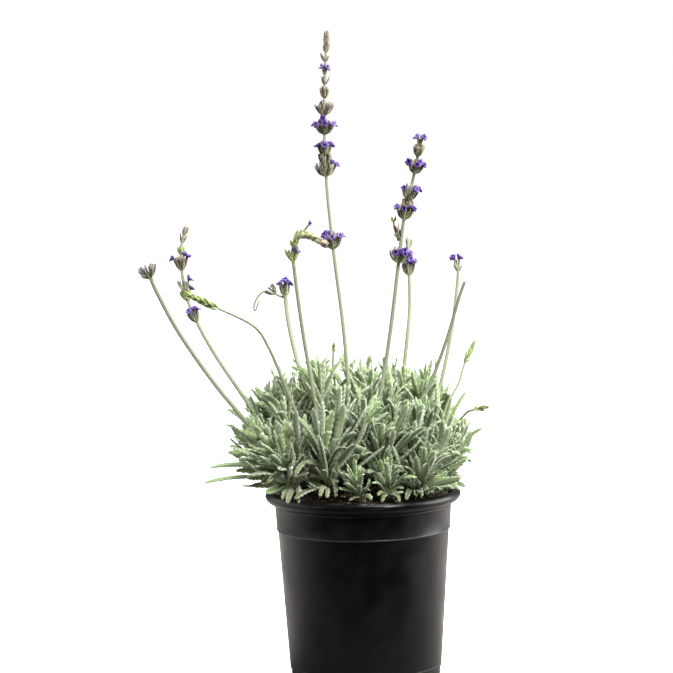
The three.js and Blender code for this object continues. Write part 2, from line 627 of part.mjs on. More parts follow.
// One calyx, bract or bud: a slim pod that starts inside the stalk, widens and closes at its mouth
const POD_OUTLINE = [[0, 0], [0.62, 1], [1, 0]];
function podOn(curve, t, spin, splay, length, width) {
  const axis = curve.getTangent(t);
  const east = new THREE.Vector3(1, 0, 0).addScaledVector(axis, -axis.x).normalize();
  const north = axis.clone().cross(east);
  const out = east.multiplyScalar(Math.cos(spin)).addScaledVector(north, Math.sin(spin));
  const heading = axis.clone().multiplyScalar(Math.cos(splay)).addScaledVector(out, Math.sin(splay));
  const root = curve.getPoint(t).addScaledVector(out, POD_ROOT);
  return { t, root, heading, across: out.cross(axis).normalize(), length, width };
}

function pod({ root, heading, across, length, width }) {
  const other = across.clone().cross(heading);
  return drawnOut(POD_OUTLINE.length, POD_SIDES, (row, corner) => {
    const [s, part] = POD_OUTLINE[row];
    const angle = corner / POD_SIDES * 2 * Math.PI;
    return root.clone().addScaledVector(heading, s * length)
      .addScaledVector(across, part * width / 2 * Math.sin(angle))
      .addScaledVector(other, part * width / 2 * Math.cos(angle));
  });
}

// A ring of calyces round a stalk, a little uneven
function whorl(curve, [height, count, length, splay, spin]) {
  const t = partAtHeight(curve, height);
  return Array.from({ length: count }, (_, i) => {
    const next = draws(Math.round(height) * 13 + i);
    const lean = THREE.MathUtils.degToRad(splay * (0.94 + 0.12 * next()));
    const bearing = THREE.MathUtils.degToRad(spin + i / count * 360);
    return podOn(curve, t, bearing, lean, length * (0.96 + 0.08 * next()), CALYX_WIDTH);
  });
}

// A tight green spike: pairs of small bracts in tiers along the last part of a stalk
function tightSpike({ curve, spans, spike: [from, to, tiers, size] }) {
  return Array.from({ length: tiers * 2 }, (_, i) => {
    const tier = Math.floor(i / 2);
    const part = tier / (tiers - 1);
    const t = (THREE.MathUtils.lerp(from, to, part) + 1) / spans;
    const spin = tier * Math.PI / 2 + i % 2 * Math.PI;
    return podOn(curve, Math.min(t, 1), spin, 0.4, size * (1.15 - 0.3 * part), size * 0.55);
  });
}

// A stem that bends only where something grows from it, and at the points of its route
function stemUnder(curve, bends, pods, startRadius, endRadius, before = []) {
  const corners = Array.from({ length: bends + 1 }, (_, i) => i / bends);
  const places = [...new Set([...corners, ...pods.map(({ t }) => t)])].sort((p, q) => p - q);
  return stem([...before, ...places.map((t) => curve.getPoint(t))], startRadius, endRadius);
}

// The bent stalk's head goes on as a drooping end with four pairs of closed bracts
function droopingEnd(points) {
  const route = points.map((point) => new THREE.Vector3(...point));
  const bend = new THREE.CatmullRomCurve3(route, false, 'catmullrom', 0.5);
  const pods = [0.1, 0.38, 0.62, 0.85].flatMap((t, i) => (
    [0, 1].map((j) => podOn(bend, t, i + j * Math.PI, 0.5, 7, 2.6))));
  return [stemUnder(bend, route.length - 1, pods, STALK_TOP_RADIUS, THIN_TOP_RADIUS), ...pods.map(pod)];
}

function flowerStalk({ curve, spans, radius, foot, thin, curved, calyces, spike, droop }) {
  const pods = [...calyces.flat(), ...(spike ? tightSpike({ curve, spans, spike }) : [])];
  const endRadius = thin ? THIN_TOP_RADIUS : STALK_TOP_RADIUS;
  const line = stemUnder(curve, spans * (curved ? 2 : 1), pods, radius, endRadius, [rooted(...foot)[0]]);
  return joined([line, ...pods.map(pod), ...(droop ? droopingEnd(droop) : [])]);
}

// A floret: five lobes spread flat, just beyond the mouth of its calyx
function floret({ root, heading, across, length }) {
  const other = across.clone().cross(heading);
  const mouth = root.clone().addScaledVector(heading, length + CLEARANCE);
  return drawnOut(3, 2 * LOBES, (row, corner) => {
    if (row !== 1) return mouth.clone().addScaledVector(heading, row === 0 ? 0 : FLORET_THROAT + 0.6);
    const reach = FLORET_RADIUS * (corner % 2 === 0 ? 1 : LOBE_NOTCH);
    const angle = corner / LOBES * Math.PI;
    return mouth.clone().addScaledVector(heading, FLORET_THROAT)
      .addScaledVector(across, reach * Math.sin(angle))
      .addScaledVector(other, reach * Math.cos(angle));
  });
}

const floretGroup = ({ calyces }, places) => joined(places.flatMap(([ring, numbers]) => (
  numbers.map((number) => floret(calyces[ring][number])))));

for (const stalk of STALKS) stalk.calyces = stalk.whorls.map((ring) => whorl(stalk.curve, ring));

// The whole plant in its pot
const lavender = new THREE.Group();
lavender.name = 'potted_lavender';
const feet = [
  ...SHOOTS.map(({ foot: [x, y] }) => ({ x, y, radius: STEM_RADIUS })),
  ...STALKS.map(({ foot: [x, y], radius }) => ({ x, y, radius })),
];
lavender.add(meshOf('pot', pot(), potPlastic));
lavender.add(meshOf('soil', soil(feet), pottingMix));
SHOOTS.forEach((_, shoot) => {
  const number = String(shoot + 1).padStart(2, '0');
  lavender.add(meshOf(`shoot_${number}`, leafyShoot(shoot), felt));
});
for (const stalk of STALKS) {
  lavender.add(meshOf(`stalk_${stalk.name}`, flowerStalk(stalk), stalk.spike ? budGreen : stalkGreen));
  for (const [place, florets] of stalk.florets) {
    lavender.add(meshOf(`florets_${stalk.name}_${place}`, floretGroup(stalk, florets), violet));
  }
}

export default lavender;
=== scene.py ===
# Potted lavender: a bushy plant with toothed grey-green leaves and violet flower spikes, in a round
# black nursery pot. Sizes are in millimetres, Z is up and the front faces -Y.
import math

import bmesh
import bpy
import numpy as np
from mathutils import Matrix, Vector, noise


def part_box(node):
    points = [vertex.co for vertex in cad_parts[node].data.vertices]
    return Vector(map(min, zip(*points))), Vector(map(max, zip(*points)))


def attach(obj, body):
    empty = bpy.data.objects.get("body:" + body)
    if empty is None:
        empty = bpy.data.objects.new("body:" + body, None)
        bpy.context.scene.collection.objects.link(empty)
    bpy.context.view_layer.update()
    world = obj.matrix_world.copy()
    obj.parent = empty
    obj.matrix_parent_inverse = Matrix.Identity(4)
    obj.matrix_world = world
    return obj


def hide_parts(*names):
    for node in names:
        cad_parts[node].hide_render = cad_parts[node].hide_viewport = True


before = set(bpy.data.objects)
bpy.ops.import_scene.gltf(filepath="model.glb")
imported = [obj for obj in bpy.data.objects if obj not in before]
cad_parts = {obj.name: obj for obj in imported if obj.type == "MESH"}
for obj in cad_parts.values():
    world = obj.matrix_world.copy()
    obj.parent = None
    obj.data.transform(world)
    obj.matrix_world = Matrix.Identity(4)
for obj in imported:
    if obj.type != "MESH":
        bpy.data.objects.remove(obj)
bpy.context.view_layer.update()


# The pot. It is one injection-moulded piece of black polypropylene: a rim with a rounded edge, a
# collar, a tapering body with a step above its foot, and a floor with six drain holes. Seen close
# to, moulded polypropylene has a satin skin with faint clouds where the melt flowed.

MM = 0.001
POT_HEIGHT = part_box("pot")[1].z / MM
RIM_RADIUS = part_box("pot")[1].x / MM
# The rolled lip, from the slope under it over its outside to its inner edge: how far each point lies
# in from the rim's radius and down from the pot's full height
LIP = [(5.3, 12.6), (2.5, 11), (0.9, 9.2), (0.1, 7.4), (0.2, 6), (0.7, 4.8), (1.5, 3.7), (2.6, 2.8),
       (4, 2.3), (6, 3.4)]
COLLAR_TOP, COLLAR_TOP_RADIUS = 150.5, 74.3
COLLAR_FOOT, COLLAR_FOOT_RADIUS = 130, 73.1
STEP = 1
FOOT_TOP, FOOT_TOP_RADIUS = 11, 63
FOOT_RADIUS = 62.4
WALL = 1.7
FLOOR = 2.2
POT_SIDES = 144
EDGE_ROUND = 0.3  # the mould leaves every edge a little round
BEAD = 0.32  # half the height of the fine raised lines at the collar's two edges
FOOT_HIGHLIGHT_LINE = 14.5  # height of a fine pale line painted just above the foot step, as a painted highlight
# The painted highlight lines and how bright each is, the half width that is painted in full, and where it
# ends
PAINTED_HIGHLIGHT_LINES = [(COLLAR_TOP, 0.3), (COLLAR_FOOT, 0.6), (FOOT_HIGHLIGHT_LINE, 0.3)]
HIGHLIGHT_FULL, HIGHLIGHT_END = 0.15, 0.5
DRAIN_HOLES, DRAIN_RADIUS, DRAIN_RING, DRAIN_SIDES = 6, 6, 46, 32
MARK_SIZE = (28, 4, 2.2)  # shallow plain recess in the front of the rim
MARK_ASIDE, MARK_DOWN = 4.6, 6
SHARP = 40  # an edge that turns by more degrees than this is left sharp
FLOW_CLOUD = 22  # size of the faint clouds in the plastic
SKIN_GRAIN = 1.1  # the real grain is finer, and is drawn this coarse to show


def linear(code):
    """An sRGB hex colour as the linear values that a shader takes."""
    parts = [int(code[i:i + 2], 16) / 255 for i in (1, 3, 5)]
    return [*(c / 12.92 if c <= 0.04045 else ((c + 0.055) / 1.055) ** 2.4 for c in parts), 1]


def add(tree, kind, inputs, **settings):
    """Adds a node. An input is a value, or another node's output to link to it."""
    node = tree.nodes.new(kind)
    for name, value in settings.items():
        setattr(node, name, value)
    for name, value in inputs.items():
        if isinstance(value, bpy.types.NodeSocket):
            tree.links.new(value, node.inputs[name])
        else:
            node.inputs[name].default_value = value
    return node


def new_material(name):
    material = bpy.data.materials.new(name)
    material.use_nodes = True
    material.node_tree.nodes.clear()
    return material, material.node_tree


def finish_material(tree, colour, relief, strength, depth, settings):
    """Ends a material with its shader, over a relief so many millimetres deep, and its output."""
    bump = add(tree, "ShaderNodeBump", {"Height": relief, "Strength": strength, "Distance": depth * MM})
    shader = add(tree, "ShaderNodeBsdfPrincipled", {
        "Base Color": colour, "Normal": bump.outputs["Normal"], **settings})
    add(tree, "ShaderNodeOutputMaterial", {"Surface": shader.outputs["BSDF"]})


def add_object(name, data):
    added = bpy.data.objects.new(name, data)
    bpy.context.scene.collection.objects.link(added)
    return added


def place_piece(bm, name, materials, node=None):
    """Makes an object of a bmesh in millimetres, which rides on the plant's one body."""
    bmesh.ops.scale(bm, vec=(MM, MM, MM), verts=bm.verts)
    for face in bm.faces:
        face.smooth = True
    mesh = bpy.data.meshes.new(name)
    bm.to_mesh(mesh)
    bm.free()
    for material in materials:
        mesh.materials.append(material)
    piece = add_object(name, mesh)
    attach(piece, "root")
    if node:
        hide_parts(node)
    return piece


def turned(profile, sides):
    """A round body from its profile, given as radius and height from the axis round to the axis."""
    bm = bmesh.new()
    outline = [bm.verts.new((radius, 0, height)) for radius, height in profile]
    for pair in zip(outline, outline[1:]):
        bm.edges.new(pair)
    bmesh.ops.spin(bm, geom=bm.verts[:] + bm.edges[:], axis=(0, 0, 1), cent=(0, 0, 0),
                   angle=2 * math.pi, steps=sides, use_merge=True)
    bmesh.ops.remove_doubles(bm, verts=bm.verts, dist=0.01)
    bmesh.ops.recalc_face_normals(bm, faces=bm.faces)
    return bm


polypropylene, tree = new_material("satin_black_polypropylene")
where = add(tree, "ShaderNodeTexCoord", {}).outputs["Object"]
cloud = add(tree, "ShaderNodeTexNoise", {"Vector": where, "Scale": 1 / (FLOW_CLOUD * MM), "Detail": 5})
grain = add(tree, "ShaderNodeTexNoise", {"Vector": where, "Scale": 1 / (SKIN_GRAIN * MM), "Detail": 2})
cloudy = add(tree, "ShaderNodeMapRange", {"Value": cloud.outputs["Fac"], "From Min": 0.35,
                                          "From Max": 0.65})
colour = add(tree, "ShaderNodeMix", {0: cloudy.outputs["Result"], 6: linear("#030303"),
                                     7: linear("#151312")}, data_type="RGBA")
# Painted highlights: pale grey lines along the raised lines of the collar and the foot step, where these
# catch the light, their strength varied with the clouds
height = add(tree, "ShaderNodeSeparateXYZ", {"Vector": where})
highlight_strength = add(tree, "ShaderNodeMapRange", {"Value": cloud.outputs["Fac"], "From Min": 0.38,
                                         "From Max": 0.62, "To Min": 0.45})
for line, highlight_brightness in PAINTED_HIGHLIGHT_LINES:
    off = add(tree, "ShaderNodeMath", {0: height.outputs["Z"], 1: line * MM}, operation='SUBTRACT')
    away = add(tree, "ShaderNodeMath", {0: off.outputs["Value"]}, operation='ABSOLUTE')
    near = add(tree, "ShaderNodeMapRange", {
        "Value": away.outputs["Value"], "From Min": HIGHLIGHT_FULL * MM, "From Max": HIGHLIGHT_END * MM,
        "To Min": highlight_brightness, "To Max": 0})
    part = add(tree, "ShaderNodeMath", {0: near.outputs["Result"], 1: highlight_strength.outputs["Result"]},
               operation='MULTIPLY')
    colour = add(tree, "ShaderNodeMix", {0: part.outputs["Value"], 6: colour.outputs[2],
                                         7: linear("#a3a49f")}, data_type="RGBA")
roughness = add(tree, "ShaderNodeMapRange", {
    "Value": cloud.outputs["Fac"], "From Min": 0.3, "From Max": 0.7, "To Min": 0.28, "To Max": 0.42})
finish_material(tree, colour.outputs[2], grain.outputs["Fac"], 0.25, 0.1, {
    "Roughness": roughness.outputs["Result"], "IOR": 1.49, "Specular IOR Level": 0.36})


def bead(radius, height):
    """A fine moulded line that stands out of the wall and catches the light."""
    return [(radius + BEAD * math.sin(angle), height + BEAD * (1 - math.cos(angle)))
            for angle in np.linspace(0, math.pi, 5)]


lip = [(RIM_RADIUS - inward, POT_HEIGHT - down) for inward, down in LIP]
bm = turned([
    (0, 0), (FOOT_RADIUS, 0), (FOOT_TOP_RADIUS, FOOT_TOP), (FOOT_TOP_RADIUS + STEP, FOOT_TOP + STEP),
    (COLLAR_FOOT_RADIUS - STEP, COLLAR_FOOT - STEP), *bead(COLLAR_FOOT_RADIUS, COLLAR_FOOT),
    *bead(COLLAR_TOP_RADIUS, COLLAR_TOP - BEAD), *lip, (COLLAR_TOP_RADIUS - WALL, COLLAR_TOP),
    (FOOT_RADIUS - WALL, FLOOR), (0, FLOOR)], POT_SIDES)
# The outer edges below the lip, which is round already
rings = [edge for edge in bm.edges
         if abs(edge.verts[0].co.z - edge.verts[1].co.z) < 0.01
         and abs(edge.verts[0].co.xy.length - edge.verts[1].co.xy.length) < 0.01
         and edge.verts[0].co.xy.length > FOOT_RADIUS - WALL / 2 and edge.verts[0].co.z < COLLAR_TOP + 2]
bmesh.ops.bevel(bm, geom=rings, offset=EDGE_ROUND, segments=2, profile=0.5, affect='EDGES', material=-1)
pot = place_piece(bm, "moulded_pot", [polypropylene], "pot")

bm = bmesh.new()
for i in range(DRAIN_HOLES):
    angle = (i + 0.5) / DRAIN_HOLES * 2 * math.pi
    middle = Matrix.Translation((DRAIN_RING * math.cos(angle), DRAIN_RING * math.sin(angle), 0))
    bmesh.ops.create_cone(bm, cap_ends=True, segments=DRAIN_SIDES, radius1=DRAIN_RADIUS,
                          radius2=DRAIN_RADIUS, depth=4 * FLOOR, matrix=middle)
mark_place = Vector((MARK_ASIDE, -RIM_RADIUS, POT_HEIGHT - MARK_DOWN))
mark = Matrix.LocRotScale(mark_place, None, Vector(MARK_SIZE))
bmesh.ops.create_cube(bm, size=1, matrix=mark)
bmesh.ops.scale(bm, vec=(MM, MM, MM), verts=bm.verts)
cutter_mesh = bpy.data.meshes.new("pot_cutters")
bm.to_mesh(cutter_mesh)
bm.free()
cutter = add_object("pot_cutters", cutter_mesh)
cuts = pot.modifiers.new("cuts", 'BOOLEAN')
cuts.operation, cuts.solver, cuts.object = 'DIFFERENCE', 'EXACT', cutter
bpy.context.view_layer.update()
cut_mesh = bpy.data.meshes.new_from_object(pot.evaluated_get(bpy.context.evaluated_depsgraph_get()))
pot.modifiers.clear()
pot.data = cut_mesh
bpy.data.objects.remove(cutter)
pot.data.set_sharp_from_angle(angle=math.radians(SHARP))


# The potting mix. A bed of composted bark and peat fills the pot to a few millimetres below the
# rim, and its surface is loose: crumbs and chips of bark, with white grains of expanded perlite.

CLEARANCE = 0.3
SOIL_EDGE = 160
SOIL_CROWN = 8
SOIL_RADIUS = 71.6
SOIL_SIDES = 96
SOIL_RINGS = 34
CRUMB = 5  # width of the lumps in the surface
CRUMB_HEIGHT = 1.3
BARK_CHIPS, CHIP_SIZES, CHIP_FLATNESS = 620, (1.6, 7), 0.45
PERLITE_GRAINS, PERLITE_SIZES, PERLITE_FLATNESS = 170, (1.2, 3.4), 0.85
GRAIN_TINT = 2.5  # spacing of the darker and lighter crumbs
PERLITE_PITS = 0.8  # the real bubbles are finer, and are drawn this coarse to show
CHIP_SEED, GRAIN_SEED = 11, 23


def draws(seed):
    """A seeded stream of even draws between 0 and 1."""
    state = seed

    def draw():
        nonlocal state
        state = (state * 1664525 + 1013904223) % 4294967296
        return state / 4294967296
    for _ in range(3):
        draw()
    return draw


def soil_height(x, y):
    return SOIL_EDGE + SOIL_CROWN * (1 - (x * x + y * y) / SOIL_RADIUS ** 2)


def crumbled(x, y):
    """Height of the loose surface at a place."""
    lumps = noise.fractal(Vector((x / CRUMB, y / CRUMB, 0)), 0.7, 2, 3)
    return soil_height(x, y) + CRUMB_HEIGHT * (lumps - 0.4)


# Name, spacing of its grain, darker and lighter colour, how strong and deep its relief is, roughness
for name, spacing, detail, codes, relief, roughness in [
        ("composted_bark_and_peat", GRAIN_TINT, 6, ("#1a120b", "#523d28"), (0.9, 0.6), 0.95),
        ("expanded_perlite", PERLITE_PITS, 3, ("#8d866c", "#d8d3bc"), (0.6, 0.3), 0.85)]:
    material, tree = new_material(name)
    where = add(tree, "ShaderNodeTexCoord", {}).outputs["Object"]
    crumbs = add(tree, "ShaderNodeTexNoise", {"Vector": where, "Scale": 1 / (spacing * MM), "Detail": detail})
    colour = add(tree, "ShaderNodeMix", {0: crumbs.outputs["Fac"], 6: linear(codes[0]),
                                         7: linear(codes[1])}, data_type="RGBA")
    finish_material(tree, colour.outputs[2], crumbs.outputs["Fac"], *relief, {"Roughness": roughness})
compost, perlite = (bpy.data.materials[name] for name in ("composted_bark_and_peat", "expanded_perlite"))

inset = WALL + CLEARANCE
surface = [(SOIL_RADIUS * (1 - i / SOIL_RINGS), soil_height(SOIL_RADIUS * (1 - i / SOIL_RINGS), 0))
           for i in range(SOIL_RINGS + 1)]
bm = turned([(0, FLOOR + CLEARANCE), (FOOT_RADIUS - inset, FLOOR + CLEARANCE),
             (COLLAR_TOP_RADIUS - inset, COLLAR_TOP), *surface], SOIL_SIDES)
for vert in bm.verts:
    if vert.co.z > SOIL_EDGE + 0.5:
        vert.co.z = crumbled(vert.co.x, vert.co.y)
place_piece(bm, "potting_mix", [compost], "soil")


def scattered(name, count, sizes, flatness, material, seed):
    """Grains that lie half sunk in the loose surface, each a rough lump of its own shape."""
    draw = draws(seed)
    bm = bmesh.new()
    for _ in range(count):
        bearing, reach = 2 * math.pi * draw(), (SOIL_RADIUS - 2.5) * math.sqrt(draw())
        x, y = reach * math.cos(bearing), reach * math.sin(bearing)
        size = sizes[0] + (sizes[1] - sizes[0]) * draw() ** 2
        turn = Matrix.Rotation(2 * math.pi * draw(), 3, 'Z') @ Matrix.Rotation(draw() - 0.5, 3, 'X')
        stretch = Vector((size * (0.7 + 0.9 * draw()), size * (0.5 + 0.4 * draw()), size * flatness))
        there = Matrix.LocRotScale(Vector((x, y, crumbled(x, y) + 0.2 * size)), turn, stretch)
        lump = bmesh.ops.create_icosphere(bm, subdivisions=1, radius=0.5, matrix=there)
        for vert in lump["verts"]:
            vert.co = there.translation + (vert.co - there.translation) * (0.75 + 0.5 * draw())
    bmesh.ops.recalc_face_normals(bm, faces=bm.faces)
    piece = place_piece(bm, name, [material])
    for polygon in piece.data.polygons:
        polygon.use_smooth = False


scattered("bark_chips", BARK_CHIPS, CHIP_SIZES, CHIP_FLATNESS, compost, CHIP_SEED)
scattered("perlite_grains", PERLITE_GRAINS, PERLITE_SIZES, PERLITE_FLATNESS, perlite, GRAIN_SEED)


# The flower stalks. Each is a square green stem, felted grey, with rings of calyces at intervals
# near its end. A calyx is a ribbed tube with small teeth round its mouth, grey-green at its foot
# and purple-brown above. The ones with no calyces end in a tight green spike or were cut off.

HOLE_DEPTH = 13
UPRIGHT_STEM = 2
STALK_RADIUS, STALK_TOP_RADIUS = 1.55, 1
THIN_STALK, THIN_TOP_RADIUS = 0.65, 0.7  # a thin stalk's share of the full radius, and its tip
POD_ROOT = 0.4  # calyces and bracts begin this far out from a stalk's middle
SAMPLE_STEP = 3
STEM_SIDES = 8
FLUTE = 0.8  # a square stem's flat sides lie at this part of its corners' reach
STEM_ROW = 5  # spacing of the rings along a stem
BEND_ROW, SPRIG_ROW = 3, 2  # the same along the drooping end and along a sprig
SPRIG_RADII, THREAD_RADII = (0.7, 0.6), (0.6, 0.48)
SPRIG_TONE = (0.5, 0.3, 0.2)  # a tone is how light, how green and how dry a skin is
SPIKE_BRACTS, SPIKE_TURN, SPIKE_BOW = 3, 1.05, 0.1
SPIKE_FULLEST = 0.35  # part of the way up a spike where its bracts are largest
DROOP_TIERS, DROOP_FIRST, DROOP_SPACE = 7, 0.04, 0.13
DROOP_BUD = (0.16, 8.5, 4.4)  # splay, length and width of a calyx of the drooping head
BRACT_WIDTH, BRACT_ROWS, BRACT_SIDES = 4.6, 7, 6  # the width is that of the bracts under a ring
STEM_HAIRS = 1.5  # the real hairs are finer, and are drawn this coarse to show
CALYX_FIBRES = 1.2  # the same goes for these
STALK_SEED = 300
CALYX_GAPS = 0.15  # share of the inner calyces that are missing
STALK_FELT = (1.55, 1.4)  # how many times its given radius a felted stem has, at its foot and tip

# What a ring is like: what it is made of, the width of each calyx, how far it bends between its foot
# and its mouth in radians, tone, and the further calyces between and inside them as [turn, part of
# the splay, part of the length, height above the ring]
LAYERS = [(0.5, 0.85, 0.95, 0.5), (0.2, 0.5, 0.95, 1), (0.75, 0.15, 0.9, 2)]
KINDS = {
    kind: {"form": form, "width": width, "bow": bow, "tone": tone, "layers": layers}
    for kind, form, width, bow, tone, layers in [
        ("dark", "calyx", 2.3, 0.75, (0.6, 0.25, 0.1), LAYERS),
        ("pale", "calyx", 2.3, 0.75, (0.85, 0.4, 0.1), LAYERS),
        ("open", "calyx", 2.1, 0.5, (0.5, 0.2, 0), [(0.5, 0.55, 0.9, 0.5)]),
        ("fan", "calyx", 2.1, 0.4, (0.5, 0.2, 0.25), LAYERS[:2]),
        ("few", "calyx", 2.2, 0.4, (0.6, 0.35, 0), []),
        ("grey", "calyx", 2.5, 0.6, (0.8, 0.4, 0.35), LAYERS[:2]),
        ("brown", "bract", 3.6, 0, (0.6, 0.1, 0.7), []),
        ("leafy", "bract", 6.2, 0, (1, 1, 0), []),
        ("purple", "bud", 3.2, 0.2, (0.85, 0.1, 0.5), LAYERS[:1]),
        ("green", "bud", 3, 0.4, (0.6, 0.9, 0.1), LAYERS[1:])]}

# Where each stalk leaves the soil, the points it passes through, and what it carries. A ring is
# [height, calyces, length, splay in degrees, spin in degrees, kind]. A floret group names the
# calyces that its florets stand on, as [ring, [calyx, ...], florets on the calyces inside them].
# A sprig is a fine side stem: its points, and its rings.
STALKS = [
    {"name": "tall", "foot": (-7, -8), "top_radius": 0.85,
     "path": [(-8, 0, 205), (-13, 4, 290), (-21, 5, 366), (-26, 8, 430), (-26, 9, 490), (-23, 12, 546)],
     "rings": [(365, 7, 12.5, 30, 12, "dark"), (426, 7, 12.5, 36, 352, "dark"),
               (435, 5, 11, 20, 30, "dark"), (443, 5, 10, 24, 270, "dark"),
               (461, 7, 11, 36, 12, "dark"), (476, 6, 12, 34, 0, "fan"),
               (491, 4, 9, 22, 45, "grey"), (502, 3, 8, 38, 350, "brown"), (510, 3, 5.5, 10, 60, "few"),
               (521, 1, 9, 50, 215, "brown"), (521, 2, 6, 34, 330, "brown"),
               (529, 3, 8, 14, 0, "purple"), (535, 3, 8, 11, 60, "purple"), (541, 2, 6, 9, 20, "purple")],
     "florets": {"base": [(0, (0, 1, 2, 3, 4, 5, 6), 4)], "low": [(1, (0,), 1)],
                 "middle": [(3, (0, 1, 2, 3, 4), 2)], "ring": [(4, (0, 1, 2, 3, 4, 5, 6), 1)],
                 "top": [(8, (0, 1, 2), 0)]}},
    {"name": "right", "foot": (5, -11),
     "path": [(12, -17, 222), (24, -21, 290), (33, -26, 356), (38, -30, 392), (47, -36, 430),
              (52, -44, 458)],
     "rings": [(355, 7, 12, 36, 345, "pale"), (391, 6, 12.5, 28, 20, "pale"), (399, 5, 9, 22, 0, "grey"),
               (407, 6, 12, 26, 340, "pale"), (429, 6, 11, 30, 330, "pale"), (443, 4, 10, 18, 30, "grey"),
               (452, 3, 7, 10, 320, "few"), (396, 1, 11, 34, 215, "leafy")],
     "florets": {"base": [(0, (0, 6, 5), 2)], "middle": [(1, (5, 4, 3), 0)], "upper": [(3, (0, 5, 4), 1)],
                 "head": [(4, (0, 5, 4), 1)], "top": [(6, (0, 2), 0)]},
     "sprigs": [([(33, -26, 373), (30, -27, 383), (29, -27, 391)], [(389, 3, 5, 16, 0, "green")]),
                ([(35, -26, 373), (33, -30, 378), (31.5, -31, 383)], [(376, 2, 8, 35, 40, "brown"),
                                                                      (381, 3, 7, 30, 0, "brown")])]},
    {"name": "short", "foot": (27, 17),
     "path": [(33, 20, 230), (40, 27, 285), (43, 34, 312), (43, 40, 342), (43, 47, 372)],
     "rings": [(339, 5, 12, 18, 330, "dark"), (350, 4, 9, 18, 30, "few"), (361, 3, 9, 12, 0, "few")],
     "florets": {"low": [(0, (0, 4), 2)]}},
    {"name": "far_right", "foot": (46, 2),
     "path": [(57, 10, 208), (70, 17, 258), (79, 24, 300), (84, 31, 336), (84, 33, 347)],
     "rings": [(344, 3, 9, 8, 215, "few"), (342, 2, 7, 40, 190, "brown")],
     "florets": {"single": [(0, (0, 1), 0)]}},
    {"name": "cut", "foot": (24, -8),
     "path": [(40, -15, 221), (56, -20, 250), (71, -28, 289), (82, -36, 326), (87, -40, 340)],
     "rings": [], "florets": {}},
    {"name": "left", "foot": (-54, -16), "top_radius": 1.45,
     "path": [(-84, -20, 209), (-119, -28, 254), (-149, -34, 300), (-166, -39, 334), (-172.5, -42, 350.5)],
     "rings": [(347.5, 7, 12, 34, 0, "open"), (347.5, 1, 9, 80, 205, "leafy"),
               (347.5, 1, 7, 40, 330, "leafy")],
     "florets": {}},
    {"name": "left_spike", "foot": (-52, 13),
     "path": [(-94, 12, 233), (-122, 18, 276), (-138, 22, 306), (-147, 28, 331), (-150, 33, 362),
              (-145, 38, 386)],
     "rings": [(304, 5, 11, 20, 320, "open"), (322, 6, 10, 42, 330, "leafy"), (330, 5, 10, 22, 350, "few"),
               (347, 6, 12, 22, 350, "fan"), (361, 4, 7, 18, 0, "green"), (370, 2, 9, 26, 20, "brown"),
               (377, 3, 8, 10, 0, "purple"), (323, 5, 9, 24, 20, "fan")],
     "florets": {"base": [(0, (0, 4), 1)], "low": [(7, (0,), 0)], "middle": [(2, (0,), 0)],
                 "side": [(3, (3,), 0)], "upper": [(3, (0,), 1)]}},
    {"name": "arching", "foot": (-36, -6), "top_radius": 0.48,
     "path": [(-48, -13, 212), (-64, -24, 256), (-76, -31, 287), (-88, -39, 306), (-117, -46, 322),
              (-139, -50, 333)],
     "rings": [], "florets": {}, "spike": (3.98, 4.95, 9, 8)},
    {"name": "inner", "foot": (-28, 18),
     "path": [(-44, 15, 236), (-54, 27, 272), (-60, 36, 300), (-63, 45, 327)],
     "rings": [(322, 5, 12, 13, 225, "open"), (325, 3, 10, 8, 165, "few")], "top_radius": 1.6,
     "florets": {"head": [(0, (0, 1, 2), 0), (1, (1, 2), 0)]},
     "sprigs": [([(-64, 45, 322), (-68, 45, 323), (-72, 45, 326), (-74, 45, 329)],
                 [(325, 5, 9, 26, 20, "open")]),
                ([(-77.5, 45, 328), (-83, 45, 326), (-88, 45, 319.5), (-89.7, 45, 313),
                  (-88.3, 45, 311), (-85.2, 45, 319.4)], [])]},
    {"name": "bent", "foot": (-24, -18), "top_radius": 1.2,
     "path": [(-34, -20, 214), (-40, -26, 250), (-48, -32, 304), (-54, -40, 360), (-53, -45, 374)],
     "rings": [(359, 4, 9, 16, 150, "few"), (371, 3, 7, 30, 40, "green"), (358, 1, 15, 40, 212, "leafy"),
               (358, 1, 14, 38, 328, "leafy")],
     "florets": {"side": [(0, (2, 3), 0)]},
     "sprigs": [([(-53, -45, 376), (-48, -47, 381), (-44, -47, 385), (-41, -47, 389)],
                 [(381, 1, 5, 30, 180, "brown")])],
     "droop": [(-53, -45, 374), (-50, -47, 379), (-42, -49, 380), (-34, -52, 377), (-27, -54, 373)]},
    {"name": "bud_high", "foot": (60, 8),
     "path": [(70, 15, 222), (83, 22, 248), (88, 26, 263), (97, 30, 282)],
     "rings": [], "florets": {}, "spike": (2.1, 2.85, 5, 7.5), "thin": True},
    {"name": "bud_low", "foot": (62, -8),
     "path": [(73, -15, 208), (86, -22, 227), (92, -26, 231), (105, -30, 234)],
     "rings": [], "florets": {}, "spike": (2.1, 2.8, 4, 6.5), "thin": True},
    {"name": "bud_back", "foot": (-12, 21),
     "path": [(-19, 20, 228), (-23, 21, 262), (-22, 24, 284)],
     "rings": [], "florets": {}, "spike": (1.62, 1.88, 3, 5), "thin": True},
]


def lerp(start, end, part):
    return (1 - part) * start + part * end


def unit(vector):
    return vector / np.linalg.norm(vector)


def smooth_line(points):
    """A curve that passes through every point, as a function of the part of the way along."""
    points = np.array(points, float)
    ends = np.vstack([2 * points[0] - points[1], points, 2 * points[-1] - points[-2]])

    def at(part):
        along = part * (len(points) - 1)
        span = min(int(along), len(points) - 2)
        w = along - span
        before, start, end, after = ends[span:span + 4]
        leave, arrive = (end - before) / 2, (after - start) / 2
        return (start + leave * w + (3 * (end - start) - 2 * leave - arrive) * w ** 2
                + (2 * (start - end) + leave + arrive) * w ** 3)
    return at


def direction(curve, part):
    return unit(curve(min(part + 1e-4, 1)) - curve(max(part - 1e-4, 0)))


